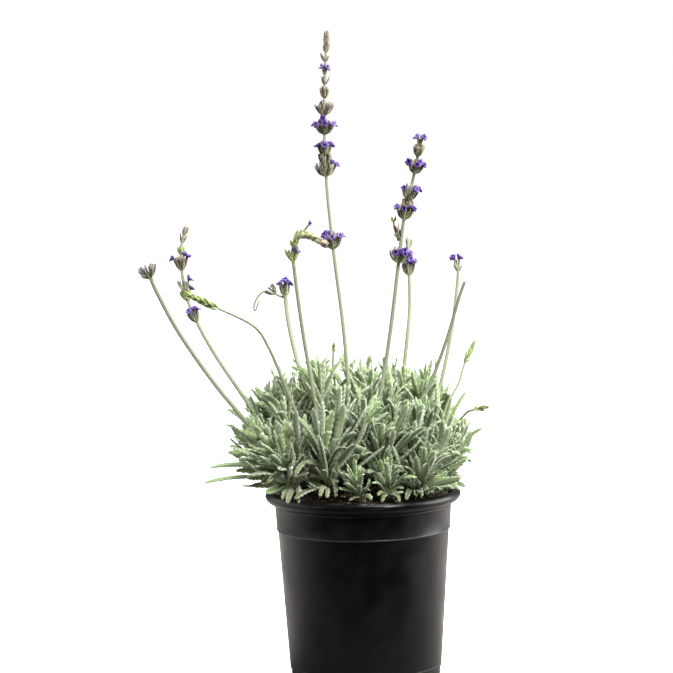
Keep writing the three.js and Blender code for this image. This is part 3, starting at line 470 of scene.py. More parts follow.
def length_of(curve):
    points = np.array([curve(i / 200) for i in range(201)])
    return np.linalg.norm(np.diff(points, axis=0), axis=1).sum()


def part_at_height(curve, height):
    low, high = 0, 1
    for _ in range(30):
        middle = (low + high) / 2
        if curve(middle)[2] < height:
            low = middle
        else:
            high = middle
    return low


def rooted(x, y):
    """A stem stands upright in the soil, from just above the floor of its hole."""
    top = soil_height(x, y)
    return np.array([(x, y, top - HOLE_DEPTH + CLEARANCE), (x, y, top + UPRIGHT_STEM)])


def outward(axis, spin):
    """The direction that leaves a stem square to its axis, at a bearing round it."""
    east = unit(np.array((1.0, 0, 0)) - axis * axis[0])
    return east * math.cos(spin) + np.cross(axis, east) * math.sin(spin)


def blank(rows, sides):
    """A closed tube of rings to copy, with the row and the side of each of its corners."""
    bm = bmesh.new()
    bmesh.ops.create_cone(bm, cap_ends=True, segments=sides, radius1=1, radius2=1, depth=rows - 1)
    uprights = [edge for edge in bm.edges if abs(edge.verts[0].co.z - edge.verts[1].co.z) > 0.5]
    bmesh.ops.subdivide_edges(bm, edges=uprights, cuts=rows - 2)
    mesh = bpy.data.meshes.new("blank")
    bm.to_mesh(mesh)
    bm.free()
    corners = np.array([vert.co for vert in mesh.vertices])
    row = np.rint(corners[:, 2] + (rows - 1) / 2).astype(int)
    side = np.rint(np.arctan2(corners[:, 0], corners[:, 1]) / (2 * math.pi) * sides).astype(int) % sides
    return mesh, row, side


blanks = {}


def skin(rows, sides, place, tone, finish=0):
    """A copy of a blank with its corners put in place. Each corner also gets its form: where it is
    across, along and under the surface. Tone is what this copy's colour is like."""
    if (rows, sides) not in blanks:
        blanks[rows, sides] = blank(rows, sides)
    mesh, row, side = blanks[rows, sides]
    corners, form = place(row, side)
    return mesh, corners, form, np.tile(tone, (len(row), 1)), finish


def grown(name, node, materials, skins):
    """One piece of many skins that have grown together."""
    bm = bmesh.new()
    form_layer = bm.verts.layers.float_vector.new("form")
    tone_layer = bm.verts.layers.float_vector.new("tone")
    for mesh, *_ in skins:
        bm.from_mesh(mesh)
    places, forms, tones = (np.concatenate([each[i] for each in skins]) for i in (1, 2, 3))
    for vert, place, form, tone in zip(bm.verts, places, forms, tones):
        vert.co = place
        vert[form_layer] = form
        vert[tone_layer] = tone
    finishes = np.repeat([each[4] for each in skins], [len(each[0].polygons) for each in skins])
    for face, finish in zip(bm.faces, finishes):
        face.material_index = finish
    bmesh.ops.recalc_face_normals(bm, faces=bm.faces)
    return place_piece(bm, name, materials, node)


def stem_skin(points, start_radius, end_radius, tone, finish=0):
    """A square stem along a line of points, its corners rounded and its sides fluted."""
    points = np.array(points)
    ahead = np.gradient(points, axis=0)
    across = np.array((1.0, 0, 0))
    frames = []
    for along in ahead / np.linalg.norm(ahead, axis=1)[:, None]:
        across = unit(across - along * across.dot(along))
        frames.append((across, np.cross(across, along)))
    frames = np.array(frames)

    def place(row, side):
        part = row / (len(points) - 1)
        radius = (lerp(*STALK_FELT, part) * lerp(start_radius, end_radius, part)
                  * np.where(side % 2, 1, FLUTE))
        angle = side / STEM_SIDES * 2 * math.pi
        corners = (points[row] + frames[row, 0] * (radius * np.cos(angle))[:, None]
                   + frames[row, 1] * (radius * np.sin(angle))[:, None])
        return corners, np.column_stack([side % 2, part, np.zeros(len(row))])
    return skin(len(points), STEM_SIDES, place, tone, finish)


def calyx_at(curve, part, spin, splay, length, width):
    axis = direction(curve, part)
    out = outward(axis, spin)
    return {"part": part, "root": curve(part) + out * POD_ROOT, "axis": axis, "out": out,
            "across": unit(np.cross(out, axis)), "splay": splay, "length": length, "width": width}


def bowed(calyx, s):
    """Middle line and direction of a calyx that leaves its stalk low and bends up to its mouth."""
    start, end = calyx["splay"] + calyx.get("bow", 0), calyx["splay"] - 0.7 * calyx.get("bow", 0) - 1e-3
    angle = lerp(start, end, s)[:, None]
    bend = end - start
    middle = calyx["root"] + calyx["length"] / bend * (
        calyx["axis"] * (np.sin(angle) - math.sin(start)) + calyx["out"] * (math.cos(start) - np.cos(angle)))
    return middle, calyx["axis"] * np.cos(angle) + calyx["out"] * np.sin(angle)


# Outline of a calyx as parts of its length and half width. The last two rings are inside its mouth.
CALYX_LINE = np.array([(0, 0.3), (0.12, 0.68), (0.42, 1), (0.8, 0.9), (1, 0.95), (0.98, 0.5), (0.84, 0.3)])
CALYX_SIDES, MOUTH_ROW = 8, 4
CALYX_GROOVE, CALYX_TOOTH = 0.8, 0.1  # depth of its grooves and length of its teeth, as parts
BUD_LINE = np.array([(0, 0.25), (0.18, 0.8), (0.45, 1), (0.75, 0.7), (0.94, 0.28), (1, 0.04)])
BUD_SIDES, BUD_FLATNESS = 6, 0.8
BRACT_CUP, BRACT_THICKNESS = 0.3, 0.35


def calyx_skin(calyx, tone):
    """A ribbed tube, open at its mouth, with its teeth standing a little further out than its ribs."""
    def place(row, side):
        s, part = CALYX_LINE[row].T
        rib = np.where(side % 2, 1, CALYX_GROOVE)
        tooth = np.where((side % 2 == 1) & (row == MOUTH_ROW), CALYX_TOOTH, 0)
        radius = part * rib * calyx["width"] / 2
        angle = side / CALYX_SIDES * 2 * math.pi
        middle, ahead = bowed(calyx, s)
        corners = (middle + ahead * (tooth * calyx["length"])[:, None]
                   + np.outer(radius * np.cos(angle), calyx["across"])
                   + np.cross(calyx["across"], ahead) * (radius * np.sin(angle))[:, None])
        return corners, np.column_stack([side % 2, s, row > MOUTH_ROW])
    return skin(len(CALYX_LINE), CALYX_SIDES, place, tone, 1)


def bud_skin(calyx, tone):
    """A closed bud or a bract wrapped round one: broad below its middle, and pointed."""
    def place(row, side):
        s, part = BUD_LINE[row].T
        radius = part * calyx["width"] / 2
        angle = side / BUD_SIDES * 2 * math.pi
        middle, ahead = bowed(calyx, s)
        corners = (middle + np.outer(radius * np.cos(angle), calyx["across"])
                   + np.cross(calyx["across"], ahead) * (BUD_FLATNESS * radius * np.sin(angle))[:, None])
        return corners, np.column_stack([side % 2, s, np.zeros(len(row))])
    return skin(len(BUD_LINE), BUD_SIDES, place, tone, 1)


def bract_skin(curve, part, spin, splay, length, width, tone):
    """A papery bract: a small cupped leaf, broadest below its middle and drawn to a point."""
    axis = direction(curve, part)
    out = outward(axis, spin)
    across = unit(np.cross(out, axis))
    root = curve(part) + out * POD_ROOT

    def place(row, side):
        s = row / (BRACT_ROWS - 1)
        lean = splay * (1.15 - 0.5 * s)
        centre = root + s[:, None] * length * (np.outer(np.cos(lean), axis) + np.outer(np.sin(lean), out))
        half = width / 2 * np.sin(np.clip(s * 0.82 + 0.16, 0, 1) * math.pi) ** 0.8
        inside = np.array((1, 0.5, -0.5, -1, -0.5, 0.5))[side]
        cup = (np.where(np.abs(inside) == 1, BRACT_CUP, 0) * half
               + np.where(side > 3, -BRACT_THICKNESS, 0))
        corners = centre + np.outer(inside * half, across) - np.outer(cup, out)
        return corners, np.column_stack([inside, s, np.where(side > 3, 0.1, 0)])
    return skin(BRACT_ROWS, BRACT_SIDES, place, tone, 1)


def ring_of_calyces(curve, ring):
    """The outer calyces of one ring, a little uneven."""
    height, count, length, splay, spin, kind = ring
    part = part_at_height(curve, height)
    calyces = []
    for i in range(count):
        draw = draws(round(height) * 13 + i)
        lean = math.radians(splay * (0.94 + 0.12 * draw()))
        bearing = math.radians(spin + i / count * 360)
        calyx = calyx_at(curve, part, bearing, lean, length * (0.96 + 0.08 * draw()),
                         KINDS[kind]["width"])
        calyces.append({**calyx, "bow": KINDS[kind]["bow"]})
    return calyces


def inner_calyces(curve, ring, draw):
    """The further calyces between and inside those, with a gap here and there."""
    height, count, length, splay, spin, kind = ring
    look = KINDS[kind]
    part, reach = part_at_height(curve, height), length_of(curve)
    calyces = []
    for turn, lean, size, rise in look["layers"]:
        for i in range(count):
            bearing = math.radians(spin + (i + turn) / count * 360 + 30 * (draw() - 0.5))
            calyx = calyx_at(curve, min(part + rise / reach, 1), bearing,
                             math.radians(splay) * lean * (0.7 + 0.5 * draw()),
                             length * size * (0.8 + 0.3 * draw()), look["width"])
            if draw() > CALYX_GAPS:
                calyces.append({**calyx, "bow": look["bow"] * (0.3 + 0.7 * lean)})
    return calyces


def ring_skins(curve, ring, calyces, draw):
    """Every calyx of a ring, and the two dry bracts that it stands on."""
    _, count, length, splay, spin, kind = ring
    look = KINDS[kind]
    part = calyces[0]["part"]
    skins = []
    for i, calyx in enumerate(calyces):
        tone = np.array(look["tone"]) + (0.9 * (draw() - 0.5), 0.3 * (draw() - 0.5), 0)
        if look["form"] == "bract":
            bearing = math.radians(spin + i / count * 360)
            skins.append(bract_skin(curve, part, bearing, math.radians(splay), calyx["length"],
                                    look["width"], tone))
        elif look["form"] == "bud":
            skins.append(bud_skin(calyx, tone))
        else:
            skins.append(calyx_skin({**calyx, "width": look["width"] * (0.85 + 0.3 * draw())}, tone))
    for i in range(2 if look["layers"] else 0):
        bearing = math.radians(spin) + 0.4 + i * math.pi
        shade = (0.7, 0.8 if kind == "green" else 0.45, 0.15)
        skins.append(bract_skin(curve, part, bearing, math.radians(splay) + 0.5, length * 0.5,
                                BRACT_WIDTH, shade))
    return skins


def spike_skins(curve, spans, spike, draw):
    """A tight green spike: tiers of three broad bracts, each tier turned from the one below."""
    start, end, tiers, size = spike
    skins = []
    for tier in range(tiers):
        part = tier / (tiers - 1)
        at = min((lerp(start, end, part) + 1) / spans, 1)
        full = 1.08 - 0.5 * abs(part - SPIKE_FULLEST)
        for i in range(SPIKE_BRACTS):
            bud = calyx_at(curve, at, tier * SPIKE_TURN + i * 2 * math.pi / SPIKE_BRACTS,
                           0.4 - 0.25 * part, size * full * (0.9 + 0.2 * draw()), size * 0.36 * full)
            skins.append(bud_skin({**bud, "bow": SPIKE_BOW}, (0.9 * draw(), 1, 0)))
    return skins


def curve_points(curve, spacing=STEM_ROW):
    count = max(4, math.ceil(length_of(curve) / spacing))
    return [curve(i / count) for i in range(count + 1)]


def grown_material(name):
    """A material, its tree, and the parts of the form and of the tone that each corner was given."""
    material, tree = new_material(name)
    layers = [add(tree, "ShaderNodeAttribute", {}, attribute_name=layer) for layer in ("form", "tone")]
    form, tone = (add(tree, "ShaderNodeSeparateXYZ", {"Vector": layer.outputs["Vector"]})
                  for layer in layers)
    return material, tree, form.outputs, tone.outputs


# A felted stem: paler in its grooves than at its corners, greener when young and brown when woody
felted_stem, tree, form, tone = grown_material("felted_green_stem")
where = add(tree, "ShaderNodeTexCoord", {}).outputs["Object"]
hairs = add(tree, "ShaderNodeTexNoise", {"Vector": where, "Scale": 1 / (STEM_HAIRS * MM), "Detail": 3})
colour = linear("#c0c5aa")
for part, code in ((form["X"], "#909a7a"), (tone["Y"], "#a3ad7e"), (tone["Z"], "#7d6a50")):
    mix = add(tree, "ShaderNodeMix", {0: part, 6: colour, 7: linear(code)}, data_type="RGBA")
    colour = mix.outputs[2]
shade = add(tree, "ShaderNodeMapRange", {"Value": hairs.outputs["Fac"], "To Min": 0.75, "To Max": 1.2})
mottled = add(tree, "ShaderNodeMix", {0: 1, 6: colour, 7: shade.outputs["Result"]},
              data_type="RGBA", blend_type='MULTIPLY')
finish_material(tree, mottled.outputs[2], hairs.outputs["Fac"], 0.4, 0.2, {
    "Roughness": 0.7, "Sheen Weight": 0.1, "Sheen Roughness": 0.4})

# A papery calyx: turned from grey-green at its foot to purple, or all green, or dry and brown, with
# light ribs, and a mouth darkened inside by painted shade
papery_calyx, tree, form, tone = grown_material("papery_calyx")
where = add(tree, "ShaderNodeTexCoord", {}).outputs["Object"]
fibres = add(tree, "ShaderNodeTexNoise", {"Vector": where, "Scale": 1 / (CALYX_FIBRES * MM), "Detail": 3})
along = add(tree, "ShaderNodeMapRange", {"Value": form["Y"], "From Min": 0.2, "From Max": 0.75})
purple, green = (add(tree, "ShaderNodeMix", {0: along.outputs["Result"], 6: linear(foot), 7: linear(end)},
                     data_type="RGBA") for foot, end in (("#a9a986", "#645460"), ("#a8b47c", "#7f944f")))
hue = add(tree, "ShaderNodeMix", {0: tone["Y"], 6: purple.outputs[2], 7: green.outputs[2]},
          data_type="RGBA")
dry = add(tree, "ShaderNodeMix", {0: tone["Z"], 6: hue.outputs[2], 7: linear("#7b6252")},
          data_type="RGBA")
ribs = add(tree, "ShaderNodeMapRange", {"Value": form["X"], "To Min": 0.72, "To Max": 1.32})
light = add(tree, "ShaderNodeMapRange", {"Value": tone["X"], "To Min": 0.8, "To Max": 1.75})
shade = add(tree, "ShaderNodeMath", {0: ribs.outputs["Result"], 1: light.outputs["Result"]},
            operation='MULTIPLY')
shaded = add(tree, "ShaderNodeMix", {0: 1, 6: dry.outputs[2], 7: shade.outputs["Value"]},
             data_type="RGBA", blend_type='MULTIPLY')
# Painted shade: the rings inside the mouth are darkened towards purple-grey
mouth = add(tree, "ShaderNodeMix", {0: form["Z"], 6: shaded.outputs[2], 7: linear("#4a3e46")},
            data_type="RGBA")
finish_material(tree, mouth.outputs[2], fibres.outputs["Fac"], 0.5, 0.2, {
    "Roughness": 0.75, "Sheen Weight": 0.25, "Sheen Roughness": 0.4})

for number, stalk in enumerate(STALKS):
    draw = draws(STALK_SEED + number)
    route = [rooted(*stalk["foot"])[1], *stalk["path"]]
    curve = smooth_line(route)
    stalk["curve"] = curve
    thin = stalk.get("thin", False)
    stalk["radius"] = STALK_RADIUS * (THIN_STALK if thin else 1)
    tip_radius = THIN_TOP_RADIUS if thin else stalk.get("top_radius", STALK_TOP_RADIUS)
    green = 0.35 if "spike" in stalk else 0
    points = [rooted(*stalk["foot"])[0], *curve_points(curve)]
    skins = [stem_skin(points, stalk["radius"], tip_radius, (0.5, green, 0))]
    stalk["calyces"] = [ring_of_calyces(curve, ring) for ring in stalk["rings"]]
    stalk["inner"] = [inner_calyces(curve, ring, draw) for ring in stalk["rings"]]
    for ring, outer, inner in zip(stalk["rings"], stalk["calyces"], stalk["inner"]):
        skins += ring_skins(curve, ring, outer + inner, draw)
    for line, rings in stalk.get("sprigs", []):
        side = smooth_line(line)
        radii = SPRIG_RADII if rings else THREAD_RADII
        skins.append(stem_skin(curve_points(side, SPRIG_ROW), *radii, SPRIG_TONE))
        for ring in rings:
            skins += ring_skins(side, ring, ring_of_calyces(side, ring), draw)
    if "spike" in stalk:
        skins += spike_skins(curve, len(route) - 1, stalk["spike"], draw)
    if "droop" in stalk:
        bend = smooth_line(stalk["droop"])
        skins.append(stem_skin(curve_points(bend, BEND_ROW), STALK_TOP_RADIUS, THIN_TOP_RADIUS,
                               SPRIG_TONE))
        for i in range(DROOP_TIERS):
            for j in range(3):
                bud = calyx_at(bend, DROOP_FIRST + DROOP_SPACE * i, i + j * 2.1, *DROOP_BUD)
                # Greener near the stalk and drier towards the end
                shade = (0.95 + 0.4 * draw(), 0.8 - 0.1 * i, 0.08 * i)
                skins.append(bud_skin({**bud, "bow": 0.2}, shade))
    slot = "green_buds" if "spike" in stalk else "stalks"
    grown(f"flower_stalk_{stalk['name']}", f"stalk_{stalk['name']}", [felted_stem, papery_calyx],
          skins)


# The florets. Each is a violet corolla that stands out of its calyx: a short tube that opens into
# five lobes, two upright ones and three that hang, thin and soft as petals are, with painted shade darkening
# its throat.

FLORET_RADIUS = 3.5
FLORET_SEED, SPRIG_SEED = 500, 600
FACE_OUT = 0.8  # how far a floret turns outwards from its calyx, in radians
LOBES = 5
COROLLA_SIDES = 20
LOBE_REACH = np.array([1.05, 0.85, 0.9, 0.85, 1.05])  # the two lobes of the upper lip are longer
# The corolla's skin in rings, from its throat over the lobes and back down the outside of the tube:
# part of the lobes' reach, height above the calyx's mouth, and how far into the throat it is
COROLLA_LINE = np.array([(0.06, 0.2, 1), (0.17, 1.4, 0.7), (0.42, 2.7, 0.1), (0.78, 3.3, 0), (1, 2.7, 0),
                         (0.8, 1.9, 0), (0.46, 1, 0), (0.24, -0.3, 0), (0.16, -1.6, 0)])

# A petal: lighter along its lobes, some of them faded, and darkened in its throat by painted shade
petal, tree, form, tone = grown_material("violet_petal")
colour = linear("#331670")
for part, code in ((form["Y"], "#5c3498"), (tone["X"], "#8d76bb"), (form["Z"], "#27144f")):
    mix = add(tree, "ShaderNodeMix", {0: part, 6: colour, 7: linear(code)}, data_type="RGBA")
    colour = mix.outputs[2]
shader = add(tree, "ShaderNodeBsdfPrincipled", {
    "Base Color": colour, "Roughness": 0.55, "Sheen Weight": 0.15, "Sheen Roughness": 0.3})
add(tree, "ShaderNodeOutputMaterial", {"Surface": shader.outputs["BSDF"]})


def corolla_skin(calyx, draw):
    middle, ahead = bowed(calyx, np.array([0.97]))
    tilt = FACE_OUT + 0.5 * (draw() - 0.3)
    aside = 0.7 * (draw() - 0.5)
    face = unit(ahead[0] * math.cos(tilt) + calyx["out"] * math.sin(tilt) + calyx["across"] * aside)
    right = unit(np.cross(face, ahead[0]) + 1e-6)
    upward = np.cross(right, face)
    size = calyx.get("flower", FLORET_RADIUS) * (0.85 + 0.3 * draw())
    reaches = LOBE_REACH * [0.8 + 0.4 * draw() for _ in range(LOBES)]
    lifts = np.array([1.8 * (draw() - 0.5) for _ in range(LOBES)])

    def place(row, side):
        part, height, depth = COROLLA_LINE[row].T
        angle = (side + 0.5) / COROLLA_SIDES * 2 * math.pi
        petal_part = np.abs(np.sin(angle * LOBES / 2)) ** 0.5
        lobe = side * LOBES // COROLLA_SIDES
        reach = size * np.where(part > 0.3, part * (0.3 + 0.7 * petal_part * reaches[lobe]), part)
        wave = np.where(part > 0.5, lifts[lobe] * petal_part, 0)
        neck = np.clip((height - 0.5) / 2, 0, 1)[:, None]
        rise = ahead[0] * (1 - neck) + face * neck
        corners = (middle[0] + rise * (height + wave)[:, None]
                   + np.outer(reach * np.sin(angle), right) + np.outer(reach * np.cos(angle), upward))
        return corners, np.column_stack([petal_part, part, depth])
    pale = calyx.get("pale", 0.8 * draw() ** 2)
    return skin(len(COROLLA_LINE), COROLLA_SIDES, place, (pale, 0, 0))


for stalk in STALKS:
    for group, (place_name, rings) in enumerate(stalk["florets"].items()):
        draw = draws(FLORET_SEED + 10 * len(stalk["name"]) + group)
        name = f"{stalk['name']}_{place_name}"
        skins = []
        for ring, numbers, further in rings:
            bearing = sum(stalk["calyces"][ring][i]["out"] for i in numbers)
            inside = sorted(stalk["inner"][ring], key=lambda calyx: -calyx["out"].dot(bearing))
            bearers = [stalk["calyces"][ring][i] for i in numbers] + inside[:further]
            skins += [corolla_skin(calyx, draw) for calyx in bearers]
        grown(f"corollas_{name}", f"florets_{name}", [petal], skins)

# One more stands at the end of the bent stalk's sprig, small and paler
bent = next(stalk for stalk in STALKS if stalk["name"] == "bent")
sprig = smooth_line(bent["sprigs"][0][0])
bearer = {**calyx_at(sprig, 1, -math.pi / 2, 0.7, 1.5, 2), "flower": 2.7, "pale": 0.8}
grown("corolla_bent_sprig", None, [petal], [corolla_skin(bearer, draws(SPRIG_SEED))])


# The leafy shoots. Each is a square stem, woody below, with one side branch and pairs of leaves,
# each pair turned a quarter from the one below. The leaves are long and narrow with blunt tips,
# scalloped and rolled-back edges and a sunken midrib, and a grey felt of fine hairs covers them.

STEM_RADIUS, FORK_RADIUS, TWIG_RADIUS = 1.6, 1.2, 0.9
FORK = 0.34  # part of the way up the main stem where the side branch leaves it
KNEE_OUT, KNEE_RISE = 0.62, 0.36
LEAF_LENGTH, LEAF_WIDTH = 48, 7.6
LEAF_ROOT = 0.3  # a leaf begins this far out from the middle of its stem
BLADE_KEEL = 0.9  # room kept below a blade for its midrib
FIRST_PAIR, SHADED_FIRST_PAIR, LAST_PAIR = 0.2, 0.5, 0.96
PAIR_SHIFT = 0.012  # the second leaf of a pair grows this much lower
PAIRS, SIDE_PAIRS = 3, 2
YOUNG_LENGTH, YOUNG_WIDTH = 0.55, 0.7
LEAF_GAP, STEM_GAP, GROUND_GAP = 1, 0.8, 1.2
ROOT_FREE = 8  # leaves of one shoot may meet this close to their roots
RIM_NEAR = 2  # from this far inside the soil's edge on, a leaf has to clear the pot's rim
SHOOT_TURN = 2.4  # near the golden angle, so that nothing on a stem stands right above the last

# Where each shoot leaves the soil, and where its branches end. The young ones are small tufts, and
# the shaded ones in the middle of the clump have lost their lowest leaves.
SHOOTS = [
    {"foot": (-54, -38), "tips": [(-72, -46, 204), (-64, -60, 190)]},
    {"foot": (-2, -62), "tips": [(-6, -71, 180)], "young": True},
    {"foot": (20, -58), "tips": [(22, -68, 184)], "young": True},
    {"foot": (-28, -42), "tips": [(-34, -50, 210), (-20, -42, 222)]},
    {"foot": (42, -46), "tips": [(52, -60, 192), (64, -46, 196)]},
    {"foot": (-40, -22), "tips": [(-62, -32, 224), (-76, -34, 208)]},
    {"foot": (-12, -26), "tips": [(-14, -28, 236), (2, -36, 226)]},
    {"foot": (14, -30), "tips": [(14, -44, 206), (28, -38, 220)]},
    {"foot": (38, -18), "tips": [(46, -34, 222), (60, -22, 212)]},
    {"foot": (54, -28), "tips": [(76, -36, 202), (68, -28, 218)]},
    {"foot": (-62, -2), "tips": [(-88, -6, 212), (-82, 4, 200)]},
    {"foot": (-38, 10), "tips": [(-64, 4, 244), (-70, 18, 234)]},
    {"foot": (-18, 4), "tips": [(-34, -6, 248), (-36, 12, 254)], "shaded": True},
    {"foot": (4, 4), "tips": [(0, 12, 248), (6, -8, 240)], "shaded": True},
    {"foot": (22, 2), "tips": [(24, -4, 238), (36, 6, 244)], "shaded": True},
    {"foot": (42, 18), "tips": [(54, 28, 240), (50, 6, 236)]},
    {"foot": (-56, 26), "tips": [(-80, 32, 228), (-74, 46, 214)]},
    {"foot": (-28, 34), "tips": [(-44, 38, 248), (-54, 52, 232)]},
    {"foot": (-2, 32), "tips": [(-10, 38, 250), (8, 48, 240)], "shaded": True},
    {"foot": (24, 32), "tips": [(24, 38, 246), (38, 50, 236)], "shaded": True},
    {"foot": (50, 32), "tips": [(70, 38, 230), (66, 52, 220)]},
    {"foot": (-34, 56), "tips": [(-58, 70, 214), (-40, 78, 222)]},
    {"foot": (-2, 58), "tips": [(-12, 80, 222), (10, 82, 216)]},
    {"foot": (30, 54), "tips": [(36, 78, 216), (54, 70, 222)]},
    {"foot": (63, 20), "tips": [(84, 14, 206), (82, 30, 198)]},
]

# Large leaves that give the clump its outline: shoot, branch, place along it, tip, width, curl, turn
LARGE_LEAVES = [
    (0, 0, 0.4, (-132, -42, 177), 5.6, -0.5, 0.8), (0, 0, 0.5, (-127, -26, 187), 7.4, -0.7, 0.9),
    (0, 0, 0.62, (-112, -34, 203), 6.6, -0.35, 0.8), (0, 1, 0.7, (-88, -62, 208), 7, -0.9, 0.7),
    (0, 0, 0.85, (-77, -50, 224), 6, 0.3, 0.5), (3, 1, 0.85, (-14, -38, 256), 7.6, 0.2, 0.2),
    (3, 0, 0.6, (-52, -62, 231), 6.4, -1, 0.5), (3, 0, 0.35, (4, -56, 226), 8.2, 0.5, -0.5),
    (3, 0, 0.28, (18, -62, 208), 7.8, 0.4, -0.5), (4, 1, 0.7, (91, -44, 212), 4.4, 0.4, -0.8),
    (4, 1, 0.5, (85, -50, 195), 5.4, 0.7, -0.8), (4, 1, 0.46, (79, -44, 176), 6, 0.2, -0.8),
    (4, 0, 0.8, (50, -74, 208), 5.6, 0.3, 0.3), (4, 0, 0.9, (61, -66, 211), 5.4, -0.4, -0.3),
    (2, 0, 0.5, (38, -80, 189), 5.4, 0.3, -0.5), (2, 0, 0.8, (19, -78, 199), 4.4, 0.2, 0.1),
    (1, 0, 0.6, (-18, -80, 190), 4.2, 0.3, 0.5), (1, 0, 0.8, (-2, -83, 192), 3.8, 0.2, 0),
    (9, 1, 0.9, (87, -16, 246), 5.6, -0.2, -0.4), (9, 0, 0.9, (88, -44, 222), 5.2, 0.3, -0.6),
]


def branch_curve(start, tip):
    """A branch leaves its start low and sideways, then turns up to its tip."""
    start, tip = np.array(start, float), np.array(tip, float)
    knee = lerp(start, tip, KNEE_OUT)
    knee[2] = lerp(start[2], tip[2], KNEE_RISE)
    return lambda t: (1 - t) ** 2 * start + 2 * (1 - t) * t * knee + t * t * tip


branches = []
for shoot in SHOOTS:
    main = branch_curve(rooted(*shoot["foot"])[1], shoot["tips"][0])
    branches.append([main, *(branch_curve(main(FORK), tip) for tip in shoot["tips"][1:])])

# Coarse outlines for keeping leaves clear of each other: part of the length, part of the half width
TOOTHED = np.array([(0, 0), (0.36, 0.92), (0.5, 0.68), (0.72, 1), (1, 0)]).T
FINE_TOOTHED = np.array([(0, 0), (0.3, 0.88), (0.41, 0.64), (0.56, 1), (0.67, 0.7), (0.8, 0.84), (1, 0)]).T
NARROW = np.array([(0, 0), (0.55, 1), (1, 0)]).T


def arched(leaf, s):
    """Middle line, upper side and sideways direction of a leaf at parts of its length."""
    turn = 0.01 if abs(leaf["curl"]) < 0.01 else leaf["curl"]
    radius = leaf["length"] / turn
    cosine, sine = np.cos(turn * s)[:, None], np.sin(turn * s)[:, None]
    points = leaf["root"] + leaf["heading"] * radius * sine + leaf["top"] * radius * (1 - cosine)
    along = leaf["heading"] * cosine + leaf["top"] * sine
    up = leaf["top"] * cosine - leaf["heading"] * sine
    return points, up, np.cross(along, up)


def leaf_on(curve, part, spin, splay, length, width, curl, outline):
    axis = direction(curve, part)
    out = outward(axis, spin)
    return {"root": curve(part) + out * LEAF_ROOT, "heading": axis * math.cos(splay) + out * math.sin(splay),
            "top": axis * math.sin(splay) - out * math.cos(splay), "length": length, "width": width,
            "curl": curl, "outline": outline}


def leaf_to(curve, part, tip, width, curl):
    root = curve(part)
    chord = np.array(tip) - root
    ahead = unit(chord)
    rise = unit(np.array((0, 0, 1)) - ahead * ahead[2])
    half = curl / 2
    return {"root": root, "heading": ahead * math.cos(half) - rise * math.sin(half),
            "top": rise * math.cos(half) + ahead * math.sin(half),
            "length": np.linalg.norm(chord) * half / math.sin(half), "width": width, "curl": curl,
            "outline": FINE_TOOTHED}


def sampled(leaf):
    """Adds the points that stand for a leaf: along its middle and both edges."""
    s = np.linspace(0, 1, math.ceil(leaf["length"] / SAMPLE_STEP) + 1)
    points, _, side = arched(leaf, s)
    edge = side * (np.interp(s, *leaf["outline"]) * leaf["width"] / 2)[:, None]
    leaf["points"] = np.concatenate([points - edge, points, points + edge])
    leaf["middle"] = arched(leaf, np.array([0.5]))[0][0]
    return leaf


def touches(leaves, points, gap):
    """Whether points come within a gap of any of the leaves, found in each leaf's own arched frame."""
    root, heading, top = (np.array([leaf[key] for leaf in leaves])[:, None]
                          for key in ("root", "heading", "top"))
    length, width, curl = (np.array([leaf[key] for leaf in leaves], float)[:, None]
                           for key in ("length", "width", "curl"))
    turn = np.where(np.abs(curl) < 0.01, 0.01, curl)
    radius, bend = length / turn, np.sign(turn)
    from_centre = points - root - top * radius[..., None]
    ahead = (from_centre * heading).sum(-1) * bend
    below = -(from_centre * top).sum(-1) * bend
    s = np.arctan2(ahead, below) / turn
    above = radius - bend * np.hypot(ahead, below)
    aside = np.abs((from_centre * np.cross(heading, top)).sum(-1))
    half = np.array([np.interp(row, *leaf["outline"]) for row, leaf in zip(np.clip(s, 0, 1), leaves)])
    over = gap / length
    return ((s > -over) & (s < 1 + over) & (above < gap) & (above > -BLADE_KEEL - gap)
            & (aside < half * width / 2 + gap))


# The lines of the stems and stalks that stand between the leaves
line_points, line_shoots, line_radii = [], [], []


def add_line(curve, shoot, start_radius, end_radius):
    count = math.ceil(length_of(curve) / SAMPLE_STEP)
    for i in range(count + 1):
        line_points.append(curve(i / count))
        line_shoots.append(shoot)
        line_radii.append(lerp(start_radius, end_radius, i / count))


for shoot, curves in enumerate(branches):
    for branch, curve in enumerate(curves):
        add_line(curve, shoot, FORK_RADIUS if branch else STEM_RADIUS, TWIG_RADIUS)
for stalk in STALKS:
    add_line(stalk["curve"], -1, stalk["radius"], STALK_TOP_RADIUS)
line_points, line_shoots, line_radii = map(np.array, (line_points, line_shoots, line_radii))

placed = []


def distance(points, place):
    return np.linalg.norm(points - place, axis=-1)


def ground_height(x, y):
    """Height of the soil, or beyond it of the pot's rim."""
    return np.where(np.hypot(x, y) < SOIL_RADIUS - RIM_NEAR, soil_height(x, y), POT_HEIGHT)


